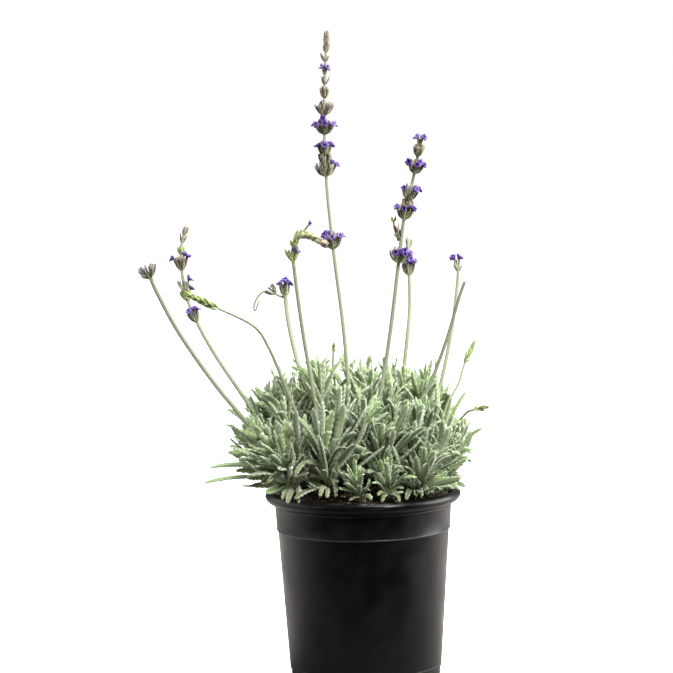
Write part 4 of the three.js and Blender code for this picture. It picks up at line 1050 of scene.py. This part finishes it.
def fits(leaf, shoot, leaf_gap=LEAF_GAP, stem_gap=STEM_GAP):
    """Whether a leaf stays clear of the ground, of stems and stalks, and of the other leaves."""
    reach = leaf["length"] / 2 + LEAF_WIDTH / 2
    x, y, z = leaf["points"].T
    if (z < ground_height(x, y) + GROUND_GAP).any():
        return False
    near = ((distance(line_points, leaf["middle"]) < reach + line_radii)
            & ((line_shoots != shoot) | (distance(line_points, leaf["root"]) > ROOT_FREE)))
    if touches([leaf], line_points[near], line_radii[near] + stem_gap).any():
        return False
    others = [other for other in placed if math.dist(other["middle"], leaf["middle"])
              <= reach + other["length"] / 2 + LEAF_WIDTH / 2]
    if not others:
        return True
    mine, own = leaf["points"], np.array([other["shoot"] == shoot for other in others])
    near_root = distance(mine, leaf["root"]) <= ROOT_FREE
    if (touches(others, mine, leaf_gap) & ~(own[:, None] & near_root)).any():
        return False
    theirs = np.concatenate([
        other["points"][distance(other["points"], other["root"]) > ROOT_FREE] if same else other["points"]
        for other, same in zip(others, own)])
    return not touches([leaf], theirs, leaf_gap).any()


# What a leaf that doesn't fit tries next: part of its splay, part of its length, further spin
TRIES = [(1, 1, 0), (0.8, 1, 0.5), (0.8, 1, -0.5), (0.6, 1, 0), (1.2, 0.9, 0.3), (0.5, 0.9, 0.9),
         (0.5, 0.9, -0.9), (0.3, 0.8, 0), (0.7, 0.7, 0), (0.5, 0.7, 1.2), (0.8, 0.5, 0)]
SPLAY = (0.98, 0.36)
TIP_LENGTH, TIP_WIDTH = 0.56, 0.5


def pair_places(shoot, branch):
    pairs = SIDE_PAIRS if shoot.get("young") or shoot.get("shaded") or branch else PAIRS
    first = SHADED_FIRST_PAIR if shoot.get("shaded") and not branch else FIRST_PAIR
    return [lerp(first, LAST_PAIR, i / (pairs - 1)) for i in range(pairs)]


def place_leaf(curve, shoot, branch, pair, half):
    """Puts one leaf of a pair in place, or leaves it out where nothing fits. Up the branch leaves
    close in, from splayed 56 degrees to 20, and get shorter and narrower."""
    young = SHOOTS[shoot].get("young")
    draw = draws(1 + shoot * 97 + branch * 31 + pair * 7 + half * 3)
    places = pair_places(SHOOTS[shoot], branch)
    up = pair / (len(places) - 1)
    part = places[pair] - half * PAIR_SHIFT
    spin = shoot * SHOOT_TURN + branch * 0.8 + pair * math.pi / 2 + half * math.pi + (draw() - 0.5) * 0.7
    splay = lerp(*SPLAY, up) * (0.8 + 0.4 * draw())
    grown_part = lerp(1, TIP_LENGTH, up ** 2) * (0.85 + 0.3 * draw())
    broad = lerp(1, TIP_WIDTH, up) * (0.9 + 0.2 * draw())
    length = LEAF_LENGTH * (YOUNG_LENGTH if young else 1) * grown_part
    width = LEAF_WIDTH * (YOUNG_WIDTH if young else 1) * broad
    curl = lerp(0.5, 0.1, up) - 1.1 * draw() ** 2
    outline = TOOTHED if up < 0.6 else NARROW
    for splay_part, length_part, turn in TRIES:
        leaf = sampled(leaf_on(curve, part, spin + turn, splay * splay_part, length * length_part, width,
                               curl, outline))
        if fits(leaf, shoot):
            placed.append({**leaf, "shoot": shoot, "up": up})
            return


for shoot, branch, part, tip, width, curl, turn in LARGE_LEAVES:
    leaf = sampled(leaf_to(branches[shoot][branch], part, tip, width, curl))
    placed.append({**leaf, "shoot": shoot, "up": 0, "large": True, "turn": turn})
for pair in range(PAIRS):
    for shoot, curves in enumerate(branches):
        for branch, curve in enumerate(curves):
            if pair < len(pair_places(SHOOTS[shoot], branch)):
                place_leaf(curve, shoot, branch, pair, 0)
                place_leaf(curve, shoot, branch, pair, 1)

# The leaves between those: closer pairs all the way up each branch, a tuft at its tip, and a skirt of
# older leaves round its foot, some of them withered
BETWEEN_PAIRS, YOUNG_BETWEEN_PAIRS = 8, 4
BETWEEN_SPAN, BETWEEN_SPLAY = (0.12, 0.97), (0.62, 0.26)  # at the foot of a branch and at its tip
BETWEEN_LENGTH, BETWEEN_WIDTH = (46, 26), (8.2, 6.4)
BETWEEN_GAPS, TUFT_GAPS = (0.2, 0.2), (0.1, 0.1)  # how close these may come to leaves and stems
TUFT, YOUNG_TUFT, TUFT_PLACE = 6, 2, 0.99
SKIRT, THICKET = 16, 8  # the thicket is the leaves in the shade inside the clump
RAISE, RAISE_TRIES, RAISED_GAP = 0.15, 8, 0.6
WITHERED_SHARE, WITHERED = 0.3, 0.9  # how many of the skirt's leaves are withered, and how far
BETWEEN_SEED, SKIRT_SEED, THICKET_SEED = 7000, 9000, 11000
# What these draw, each as its start and its spread: place on the branch, splay, length, width, curl
TUFT_RANGES = [(0.12, 0.26), (12, 10), (3.8, 1.4), (0.3, -0.5)]  # the place is given
SKIRT_RANGES = [(0.03, 0.3), (0.6, 0.6), (16, 22), (4, 1.6), (0.7, -1.1)]
THICKET_RANGES = [(0.2, 0.6), (0.5, 0.4), (20, 14), (5, 1), (0.2, -0.5)]

# Leaves that stand in front and at the rim, turned on their stalks to show their faces: shoot,
# branch, place along it, tip, width, curl, turn, how withered
TURNED_LEAVES = [
    (0, 1, 0.3, (-85, -72, 213), 7.6, -0.9, 0.9, 0), (0, 1, 0.5, (-74, -66, 223), 7, -0.3, 0.6, 0),
    (0, 1, 0.7, (-67, -68, 220), 6.4, -0.2, -0.4, 0), (0, 1, 0.9, (-61, -72, 214), 5.6, -0.5, 0.5, 0),
    (0, 0, 0.6, (-109, -50, 207), 6.4, -0.3, 0.9, 0), (0, 0, 0.5, (-103, -54, 199), 6.6, -0.5, 0.9, 0),
    (0, 0, 0.35, (-95, -62, 183), 7, -0.5, 1, 0.3), (0, 1, 0.2, (-83, -70, 180), 6.6, -0.7, 0.8, 0.4),
    (3, 0, 0.6, (-50, -72, 233), 7.8, -0.7, 0.7, 0), (3, 0, 0.4, (-56, -72, 184), 5.6, -2.6, 0.3, 0.3),
    (3, 1, 0.9, (-17, -50, 256), 7.2, -0.2, 0.2, 0), (3, 0, 0.95, (-32, -56, 245), 6.8, 0.2, -0.3, 0),
    (3, 0, 0.9, (-39, -60, 240), 6.2, 0.3, 0.5, 0), (3, 1, 0.4, (-36, -74, 210), 6, -0.9, 0.5, 0.2),
    (3, 1, 0.3, (-15, -72, 208), 6, -1.1, -0.4, 0), (3, 0, 0.2, (-44, -70, 196), 5.4, -1.3, 0.5, 0.2),
    (1, 0, 0.2, (-15, -80, 190), 5, -0.2, 0.5, 0), (1, 0, 0.4, (-1, -82, 189), 4.6, 0.2, 0, 0),
    (1, 0, 0.2, (-8, -80, 187), 4.8, 0.3, 0.3, 0), (2, 0, 0.1, (8, -80, 183), 4.8, -0.3, 0.3, 0),
    (2, 0, 0.2, (37, -80, 188), 5.4, -0.2, -0.6, 0), (2, 0, 0.5, (21, -76, 197), 5.4, 0.2, 0, 0),
    (2, 0, 0.6, (27, -78, 192), 5, 0.3, -0.4, 0), (2, 0, 0.3, (14, -78, 188), 5, 0.2, 0.3, 0),
    (4, 0, 0.4, (45, -72, 201), 6, 0.2, 0.3, 0), (4, 1, 0.3, (54, -66, 210), 6.8, 0.2, -0.3, 0),
    (4, 1, 0.5, (61, -62, 204), 6.2, 0.3, -0.5, 0), (4, 0, 0.7, (50, -70, 208), 6.2, 0.2, 0.2, 0),
    (4, 0, 0.2, (37, -72, 195), 5.6, -0.5, 0.4, 0), (9, 0, 0.3, (68, -56, 201), 6.6, -0.4, -0.5, 0),
    (7, 0, 0.4, (3, -66, 208), 6.6, -0.7, 0.5, 0), (7, 0, 0.8, (14, -56, 225), 6.8, -0.3, 0.3, 0),
    (7, 1, 0.6, (34, -58, 221), 6.4, -0.5, -0.5, 0), (8, 0, 0.6, (44, -52, 227), 6.4, -0.3, -0.3, 0),
    (6, 1, 0.8, (-8, -54, 235), 6.4, -0.4, 0.4, 0), (5, 0, 0.6, (-71, -52, 229), 6.8, -0.5, 0.7, 0),
    (1, 0, 0.1, (4, -78, 173), 4.6, -1.6, 0.5, 0), (2, 0, 0.04, (25, -78, 168), 4.6, -0.6, 0.5, 0),
    (4, 0, 0.04, (36, -76, 169), 5.2, -0.9, 0.6, 0), (4, 0, 0.1, (55, -70, 171), 4.6, -1.5, -0.5, 0.2),
    (4, 0, 0.15, (74, -58, 174), 5.4, -0.4, -0.7, 0), (9, 0, 0.05, (78, -50, 178), 6, -0.3, -0.8, 0),
    (9, 0, 0.05, (71, -52, 169), 5, -0.6, -0.6, 0), (2, 0, 0.15, (31, -76, 174), 4.2, -1.2, -0.5, 0.3),
    (3, 0, 0.03, (-43, -68, 176), 5, -0.4, 0.4, 0), (0, 0, 0.05, (-74, -60, 173), 6, -0.4, 0.9, 0.3),
    (1, 0, 0.05, (-19, -76, 175), 4.6, -0.7, 0.6, 0), (7, 0, 0.1, (17, -72, 186), 5, -0.6, 0.4, 0),
    (7, 0, 0.1, (7, -70, 191), 5.2, -0.4, 0.3, 0), (6, 0, 0.1, (-9, -66, 195), 5.6, -0.5, 0.4, 0),
    (6, 0, 0.1, (-19, -68, 186), 5, -0.8, 0.5, 0.2), (8, 0, 0.1, (31, -64, 197), 5.6, -0.5, -0.4, 0),
    (8, 0, 0.05, (39, -66, 183), 5, -0.6, -0.4, 0), (3, 0, 0.05, (-22, -70, 179), 4.8, -0.9, -0.5, 0.4),
    (2, 0, 0.02, (13, -76, 170), 4.2, -1.2, 0.5, 0.2), (0, 0, 0.04, (-63, -73, 163), 6, -1.5, 0.6, 0.5),
    (0, 0, 0.06, (-68, -67, 168), 5, -1, 0.9, 0.5), (0, 0, 0.02, (-53, -75, 164), 5.2, -1.9, -0.4, 0.5),
    (3, 0, 0.03, (-37, -72, 171), 5, -1.2, 0.5, 0.3), (3, 0, 0.02, (-30, -73, 167), 4.6, -1.4, 0.3, 0.6),
    (3, 1, 0.05, (-19, -74, 170), 4.6, -1.2, -0.3, 0.2), (1, 0, 0.03, (-11, -77, 165), 4.2, -1, 0.4, 0),
    (1, 0, 0.08, (8, -77, 166), 4.6, -1.2, -0.4, 0), (2, 0, 0.03, (16, -76, 165), 4.4, -1.2, 0.4, 0.2),
    (2, 0, 0.06, (29, -75, 165), 4.6, -1.4, -0.4, 0), (4, 0, 0.04, (43, -73, 167), 5, -1.2, 0.2, 0),
    (4, 0, 0.05, (50, -71, 168), 4.6, -1.3, -0.4, 0.2),
    (4, 0, 0.08, (64, -66, 171), 5.4, -0.8, -0.6, 0), (4, 1, 0.1, (71, -60, 178), 5.6, -0.5, -0.7, 0),
    (7, 0, 0.05, (12, -68, 178), 5, -1, 0.4, 0.2), (7, 0, 0.08, (23, -68, 181), 5, -0.9, -0.5, 0),
    (6, 0, 0.05, (-13, -66, 177), 5, -1, 0.3, 0.2), (6, 0, 0.08, (-4, -66, 185), 5.4, -0.7, 0.4, 0),
    (0, 0, 0.05, (-50, -68, 171), 5, -0.9, 0.4, 0.2), (12, 1, 0.9, (-26, 10, 269), 6, 0.2, 0.4, 0),
    (12, 0, 0.9, (-21, 4, 274), 5.6, 0.2, 0.2, 0), (12, 1, 0.7, (-32, 8, 266), 6, 0.1, 0.5, 0),
    (13, 0, 0.9, (-13, 10, 268), 5.6, 0.1, 0.3, 0), (10, 0, 0.8, (-108, -12, 237), 6, -0.2, 0.8, 0),
    (10, 0, 0.6, (-112, -16, 224), 6.2, -0.3, 0.8, 0), (16, 0, 0.8, (-99, 20, 243), 6, -0.2, 0.7, 0),
    (10, 1, 0.7, (-93, -4, 244), 5.6, -0.2, 0.7, 0), (9, 1, 0.7, (61, -8, 275), 5.6, 0.1, -0.4, 0),
    (15, 0, 0.9, (61, 24, 270), 5.6, 0.1, -0.4, 0), (24, 0, 0.6, (98, 10, 214), 5, 0.2, -0.7, 0),
    (9, 0, 0.1, (80, -26, 172), 6, -0.9, -0.6, 0.2),
    (4, 0, 0.12, (84, -22, 167), 5.4, -1.2, -0.6, 0), (24, 0, 0.1, (86, 14, 169), 5, -1.2, 0.3, 0.3),
]
for shoot, branch, part, tip, width, curl, turn, withered in TURNED_LEAVES:
    leaf = sampled(leaf_to(branches[shoot][branch], part, tip, width, curl))
    placed.append({**leaf, "shoot": shoot, "up": 0, "between": True, "turn": turn, "withered": withered})


def add_between(curve, shoot, up, gaps, part, spin, splay, length, width, curl):
    for splay_part, length_part, turn in TRIES:
        leaf = sampled(leaf_on(curve, part, spin + turn, splay * splay_part, length * length_part, width,
                               curl, NARROW))
        if fits(leaf, shoot, *gaps):
            placed.append({**leaf, "shoot": shoot, "up": up, "between": True})
            return


def drawn(ranges, draw):
    return [start + spread * draw() for start, spread in ranges]


def add_raised(curve, spin, ranges, draw, further):
    """Adds a low leaf, turned up until it clears the ground."""
    place, *measures = drawn(ranges, draw)
    leaf = sampled(leaf_on(curve, place, spin, *measures, NARROW))
    for _ in range(RAISE_TRIES):
        x, y, z = leaf["points"].T
        if (z > ground_height(x, y) + RAISED_GAP).all():
            placed.append({**leaf, "up": 0, "between": True, **further})
            return
        heading = unit(leaf["heading"] + (0, 0, RAISE))
        top = leaf["top"] - heading * leaf["top"].dot(heading)
        leaf = sampled({**leaf, "heading": heading, "top": unit(top)})


for shoot, curves in enumerate(branches):
    young = SHOOTS[shoot].get("young")
    small = YOUNG_LENGTH if young else 1
    for branch, curve in enumerate(curves):
        draw = draws(BETWEEN_SEED + shoot * 53 + branch * 17)
        for pair in range(YOUNG_BETWEEN_PAIRS if young else BETWEEN_PAIRS):
            up = (pair + 0.5) / BETWEEN_PAIRS
            for half in range(2):
                place = lerp(*BETWEEN_SPAN, up) + 0.02 * (draw() - 0.5)
                spin = (shoot * SHOOT_TURN + pair * math.pi / 2 + 0.8 + half * math.pi
                        + (draw() - 0.5) * 0.9)
                splay = lerp(*BETWEEN_SPLAY, up) * (0.7 + 0.5 * draw()) * (0.7 if young else 1)
                length = lerp(*BETWEEN_LENGTH, up ** 2) * small * (0.8 + 0.4 * draw())
                width = lerp(*BETWEEN_WIDTH, up) * (0.85 + 0.3 * draw()) * (0.75 if young else 1)
                curl = lerp(0.3, 0, up) - 0.9 * draw() ** 2
                add_between(curve, shoot, up, BETWEEN_GAPS, place, spin, splay, length, width, curl)
        for i in range(YOUNG_TUFT if young else TUFT):
            add_between(curve, shoot, 1, TUFT_GAPS, TUFT_PLACE, i * SHOOT_TURN + shoot,
                        *drawn(TUFT_RANGES, draw))
    draw = draws(SKIRT_SEED + shoot * 41)
    for i in range(0 if young else SKIRT):
        withered = WITHERED * (draw() > 1 - WITHERED_SHARE)
        add_raised(curves[0], i * SHOOT_TURN + shoot, SKIRT_RANGES, draw,
                   {"shoot": shoot, "withered": withered})

# The thicket's leaves, which may meet their neighbours
for shoot, curves in enumerate(branches):
    for branch, curve in enumerate(curves):
        draw = draws(THICKET_SEED + shoot * 29 + branch * 13)
        for i in range(0 if SHOOTS[shoot].get("young") else THICKET):
            add_raised(curve, i * SHOOT_TURN + branch, THICKET_RANGES, draw,
                       {"shoot": shoot, "shaded": True})

SPREAD = (-112, 80)  # how far the leaves reach to the left and right, apart from the large ones
TOOTH = 3.6  # length of one scallop, on the leaves that were placed from the photograph
BROAD_TOOTH = 4.4  # the same on the leaves that a rule places
LEAF_SIDES = 6
SWAY, TWIST, TIP_DROOP, LIFT = 6, 1.4, 8, 0.1  # how far leaves differ in each
TURN, BETWEEN_TURN = 1, 1.8  # spread of how far leaves are turned about their middle, in radians
THICKET_PAINTED_SHADE = 0.2  # painted shade: the thicket's leaves, in the shade inside the clump, are painted among the darkest greens
TAPER_START = 0.8  # part of the length from which a blade rounds off to its blunt tip
BLADE_FOOT = 0.36  # part of its width that a blade starts with
SHORTEST = 0.55  # part of its length that a leaf keeps where the clump ends
SCENE_WIDTH = 0.95  # the solids' leaves are broader than life, to cover with fewer of them
PEBBLE = 1.3  # the felt's lumps; the real ones are finer, and are drawn this coarse to show
SCALLOP = 0.66  # the notches between teeth reach in to this part of the half width
# Section of a blade, as parts of its half width across and up: two rounded halves with the midrib
# sunk between them, edges rolled back, and the midrib standing out below
SECTION = np.array([(0, -0.42), (0.98, -0.16), (0.55, 0.28), (0, 0.03), (-0.55, 0.28), (-0.98, -0.16)])


def leaf_skin(leaf):
    draw = draws(round(leaf["length"] * 100) + round(leaf["root"][2] * 10))
    sway, twist, tint = (draw() - 0.5) * SWAY, (draw() - 0.5) * TWIST, draw()
    droop = TIP_DROOP * draw() ** 3  # some tips curl back
    placed_by_hand = "large" in leaf or "turn" in leaf
    lift = 0 if placed_by_hand or "withered" in leaf else LIFT * leaf["length"] * draw()
    turn = leaf.get("turn", (draw() - 0.5) * (BETWEEN_TURN if "between" in leaf else TURN))
    width = leaf["width"] * (1 if "between" in leaf or "large" in leaf else SCENE_WIDTH)
    if not placed_by_hand:
        root, tip = arched(leaf, np.array([0.0, 1.0]))[0]
        for limit in SPREAD:
            if abs(tip[0]) > abs(limit) and tip[0] * limit > 0:
                shorter = max(SHORTEST, (limit - root[0]) / (tip[0] - root[0]))
                leaf = {**leaf, "length": leaf["length"] * shorter, "curl": leaf["curl"] * shorter}
    # Painted shade: a leaf of the thicket keeps only a fifth of its tint towards the lighter green
    if "shaded" in leaf:
        tint *= THICKET_PAINTED_SHADE
    teeth = max(3, round(leaf["length"] / (TOOTH if placed_by_hand else BROAD_TOOTH)))
    rows = 2 * teeth + 1

    def place(row, side):
        s = row / (rows - 1)
        points, up, across = arched(leaf, s)
        fall = droop * np.clip(s - 0.6, 0, 1) ** 2 * 6
        points = points + across * (sway * s ** 2)[:, None] - up * fall[:, None]
        points[:, 2] += lift * s ** 2
        taper = np.sqrt(np.clip(1 - (np.clip(s - TAPER_START, 0, 1) / 0.203) ** 2, 0, 1))
        swell = BLADE_FOOT + (1 - BLADE_FOOT) * np.clip(s / 0.5, 0, 1) ** 0.8
        scallop = np.where((row % 2 == 0) & (s > 0.1) & (s < 0.99), SCALLOP, 1)
        half = width / 2 * taper * swell
        sideways, upwards = SECTION[side].T
        sideways = sideways * np.where(np.abs(sideways) > 0.9, scallop, 1)
        angle = turn + twist * s
        cosine, sine = np.cos(angle), np.sin(angle)
        aside = half * (sideways * cosine - upwards * sine)
        above = half * (sideways * sine + upwards * cosine)
        corners = points + across * aside[:, None] + up * above[:, None]
        return corners, np.column_stack([SECTION[side, 0], s * teeth, side == 0])
    youth = 0.05 + 0.6 * max(0, leaf["up"] - 0.6) + (0.4 if SHOOTS[leaf["shoot"]].get("young") else 0)
    return skin(rows, LEAF_SIDES, place, (tint, youth, leaf.get("withered", 0)))


# A felted leaf: each of its own green, lighter when young, buff when withered, and pale where the
# felt is thick, along the rolled edges and below
felt, tree, form, tone = grown_material("grey_felted_leaf")
where = add(tree, "ShaderNodeTexCoord", {}).outputs["Object"]
pebbles = add(tree, "ShaderNodeTexNoise", {"Vector": where, "Scale": 1 / (PEBBLE * MM), "Detail": 3})
aside = add(tree, "ShaderNodeMath", {0: form["X"]}, operation='ABSOLUTE')
edge = add(tree, "ShaderNodeMapRange", {"Value": aside.outputs["Value"], "From Min": 0.35,
                                        "From Max": 0.95, "To Max": 0.85})
under = add(tree, "ShaderNodeMapRange", {"Value": form["Z"], "To Max": 0.75})
colour = linear("#384d25")
for part, code in ((tone["X"], "#8ca669"), (tone["Y"], "#a6c878"), (tone["Z"], "#b3a988"),
                   (edge.outputs["Result"], "#d9e1c6"), (under.outputs["Result"], "#b3bd9c")):
    mix = add(tree, "ShaderNodeMix", {0: part, 6: colour, 7: linear(code)}, data_type="RGBA")
    colour = mix.outputs[2]
# Each tooth of the edge swells, and a side vein runs sunken to the notch between two. Besides the bump,
# the colour is painted lighter on each tooth as a painted highlight and darker in notches and veins as
# painted shade
beat = add(tree, "ShaderNodeMath", {0: form["Y"], 1: 0.5}, operation='PINGPONG')
swollen = add(tree, "ShaderNodeMapRange", {"Value": beat.outputs["Value"], "From Max": 0.4,
                                           "To Min": 0.5, "To Max": 1.2})
toothed = add(tree, "ShaderNodeMix", {0: aside.outputs["Value"], 2: 1.0, 3: swollen.outputs["Result"]},
              data_type='FLOAT')
shade = add(tree, "ShaderNodeMapRange", {"Value": pebbles.outputs["Fac"], "To Min": 0.7, "To Max": 1.3})
both = add(tree, "ShaderNodeMath", {0: toothed.outputs[0], 1: shade.outputs["Result"]},
           operation='MULTIPLY')
mottled = add(tree, "ShaderNodeMix", {0: 1, 6: colour, 7: both.outputs["Value"]},
              data_type="RGBA", blend_type='MULTIPLY')
relief = add(tree, "ShaderNodeMath", {0: pebbles.outputs["Fac"], 1: toothed.outputs[0]}, operation='ADD')
finish_material(tree, mottled.outputs[2], relief.outputs["Value"], 0.5, 0.3, {
    "Roughness": 0.72, "Sheen Weight": 0.4, "Sheen Roughness": 0.45})

for shoot, curves in enumerate(branches):
    skins = []
    for branch, curve in enumerate(curves):
        points = curve_points(curve)
        if branch == 0:
            points = [rooted(*SHOOTS[shoot]["foot"])[0], *points]
        skins.append(stem_skin(points, FORK_RADIUS if branch else STEM_RADIUS, TWIG_RADIUS,
                               (0.5, 0.4, 0.35), 1))
    skins += [leaf_skin(leaf) for leaf in placed if leaf["shoot"] == shoot]
    number = f"{shoot + 1:02d}"
    grown(f"leafy_shoot_{number}", f"shoot_{number}", [felt, felted_stem], skins)


# The studio: a white paper floor and a white surround, a soft key light in front to the right and
# above, a soft light overhead and one at each side. The camera stands where the photographer's did,
# a little above the plant and a long way off.

FLOOR_SIZE = 30
FLOOR_GLOW = 0.97  # brings the paper to white in the picture, with only the faintest shadow on it
SHADE_ALONG, SHADE_SPAN = (-0.1, 1, 0), (-0.22, 0.15)  # direction and span of the floor's shading
SURROUND = 0.14  # strength of the light that comes from all round
# Each light: place, width and height in metres, power in watts
LIGHTS = {"key": ((1.0, -1.6, 2.0), (0.7, 0.7), 74), "overhead": ((0.4, 0.4, 2.4), (1, 1), 78),
          "left": ((-1.8, 0.2, 0.8), (3, 1.4), 20), "right": ((2, 0.4, 0.8), (1.6, 1.6), 68)}
LIGHTS_AIM = Vector((0, 0, 0.2))
LENS, SENSOR = 154, 36
CAMERA_PLACE = (-0.0197, -2.4, 0.5365)
CAMERA_PITCH, CAMERA_ROLL = math.radians(-5.818), math.radians(-1.1)

floor_mesh = bpy.data.meshes.new("studio_floor")
bm = bmesh.new()
bmesh.ops.create_grid(bm, x_segments=1, y_segments=1, size=FLOOR_SIZE)
bm.to_mesh(floor_mesh)
bm.free()
paper, tree = new_material("white_paper_floor")
matt = add(tree, "ShaderNodeBsdfDiffuse", {"Color": linear("#fbfbfa")})
glow = add(tree, "ShaderNodeEmission", {"Color": (1, 1, 1, 1), "Strength": FLOOR_GLOW})
white = add(tree, "ShaderNodeAddShader", {0: matt.outputs["BSDF"], 1: glow.outputs["Emission"]})
# Painted shade: in everything but the picture itself the floor is painted dark in front and lighter behind,
# for the pot to reflect
where = add(tree, "ShaderNodeTexCoord", {}).outputs["Object"]
depth = add(tree, "ShaderNodeVectorMath", {0: where, 1: SHADE_ALONG}, operation='DOT_PRODUCT')
behind = add(tree, "ShaderNodeMapRange", {
    "Value": depth.outputs["Value"], "From Min": SHADE_SPAN[0], "From Max": SHADE_SPAN[1]})
shaded = add(tree, "ShaderNodeMix", {0: behind.outputs["Result"], 6: linear("#161616"),
                                     7: linear("#b6b2ac")}, data_type="RGBA")
dim = add(tree, "ShaderNodeBsdfDiffuse", {"Color": shaded.outputs[2]})
ray = add(tree, "ShaderNodeLightPath", {})
both = add(tree, "ShaderNodeMixShader", {0: ray.outputs["Is Camera Ray"], 1: dim.outputs["BSDF"],
                                         2: white.outputs["Shader"]})
add(tree, "ShaderNodeOutputMaterial", {"Surface": both.outputs["Shader"]})
floor_mesh.materials.append(paper)
floor = add_object("studio_floor", floor_mesh)

world = bpy.data.worlds.new("white_surround")
bpy.context.scene.world = world
world.use_nodes = True
tree = world.node_tree
tree.nodes.clear()
ray = add(tree, "ShaderNodeLightPath", {})
soft = add(tree, "ShaderNodeBackground", {"Color": (1, 1, 1, 1), "Strength": SURROUND})
seen = add(tree, "ShaderNodeBackground", {"Color": (1, 1, 1, 1), "Strength": 1})
both = add(tree, "ShaderNodeMixShader", {0: ray.outputs["Is Camera Ray"], 1: soft.outputs["Background"],
                                         2: seen.outputs["Background"]})
add(tree, "ShaderNodeOutputWorld", {"Surface": both.outputs["Shader"]})

for name, (place, size, power) in LIGHTS.items():
    lamp = bpy.data.lights.new(f"soft_{name}", 'AREA')
    lamp.shape, lamp.energy = 'RECTANGLE', power
    lamp.size, lamp.size_y = size
    light = add_object(f"soft_{name}", lamp)
    light.location = place
    light.rotation_euler = (LIGHTS_AIM - Vector(place)).to_track_quat('-Z', 'Y').to_euler()
    light.visible_camera = False

bpy.context.scene.view_settings.view_transform = 'Standard'
camera_data = bpy.data.cameras.new("camera")
camera_data.lens, camera_data.sensor_width = LENS, SENSOR
camera = add_object("camera", camera_data)
camera.matrix_world = (Matrix.Translation(CAMERA_PLACE)
                       @ Matrix.Rotation(math.pi / 2 + CAMERA_PITCH, 4, 'X')
                       @ Matrix.Rotation(CAMERA_ROLL, 4, 'Z'))
bpy.context.scene.camera = camera
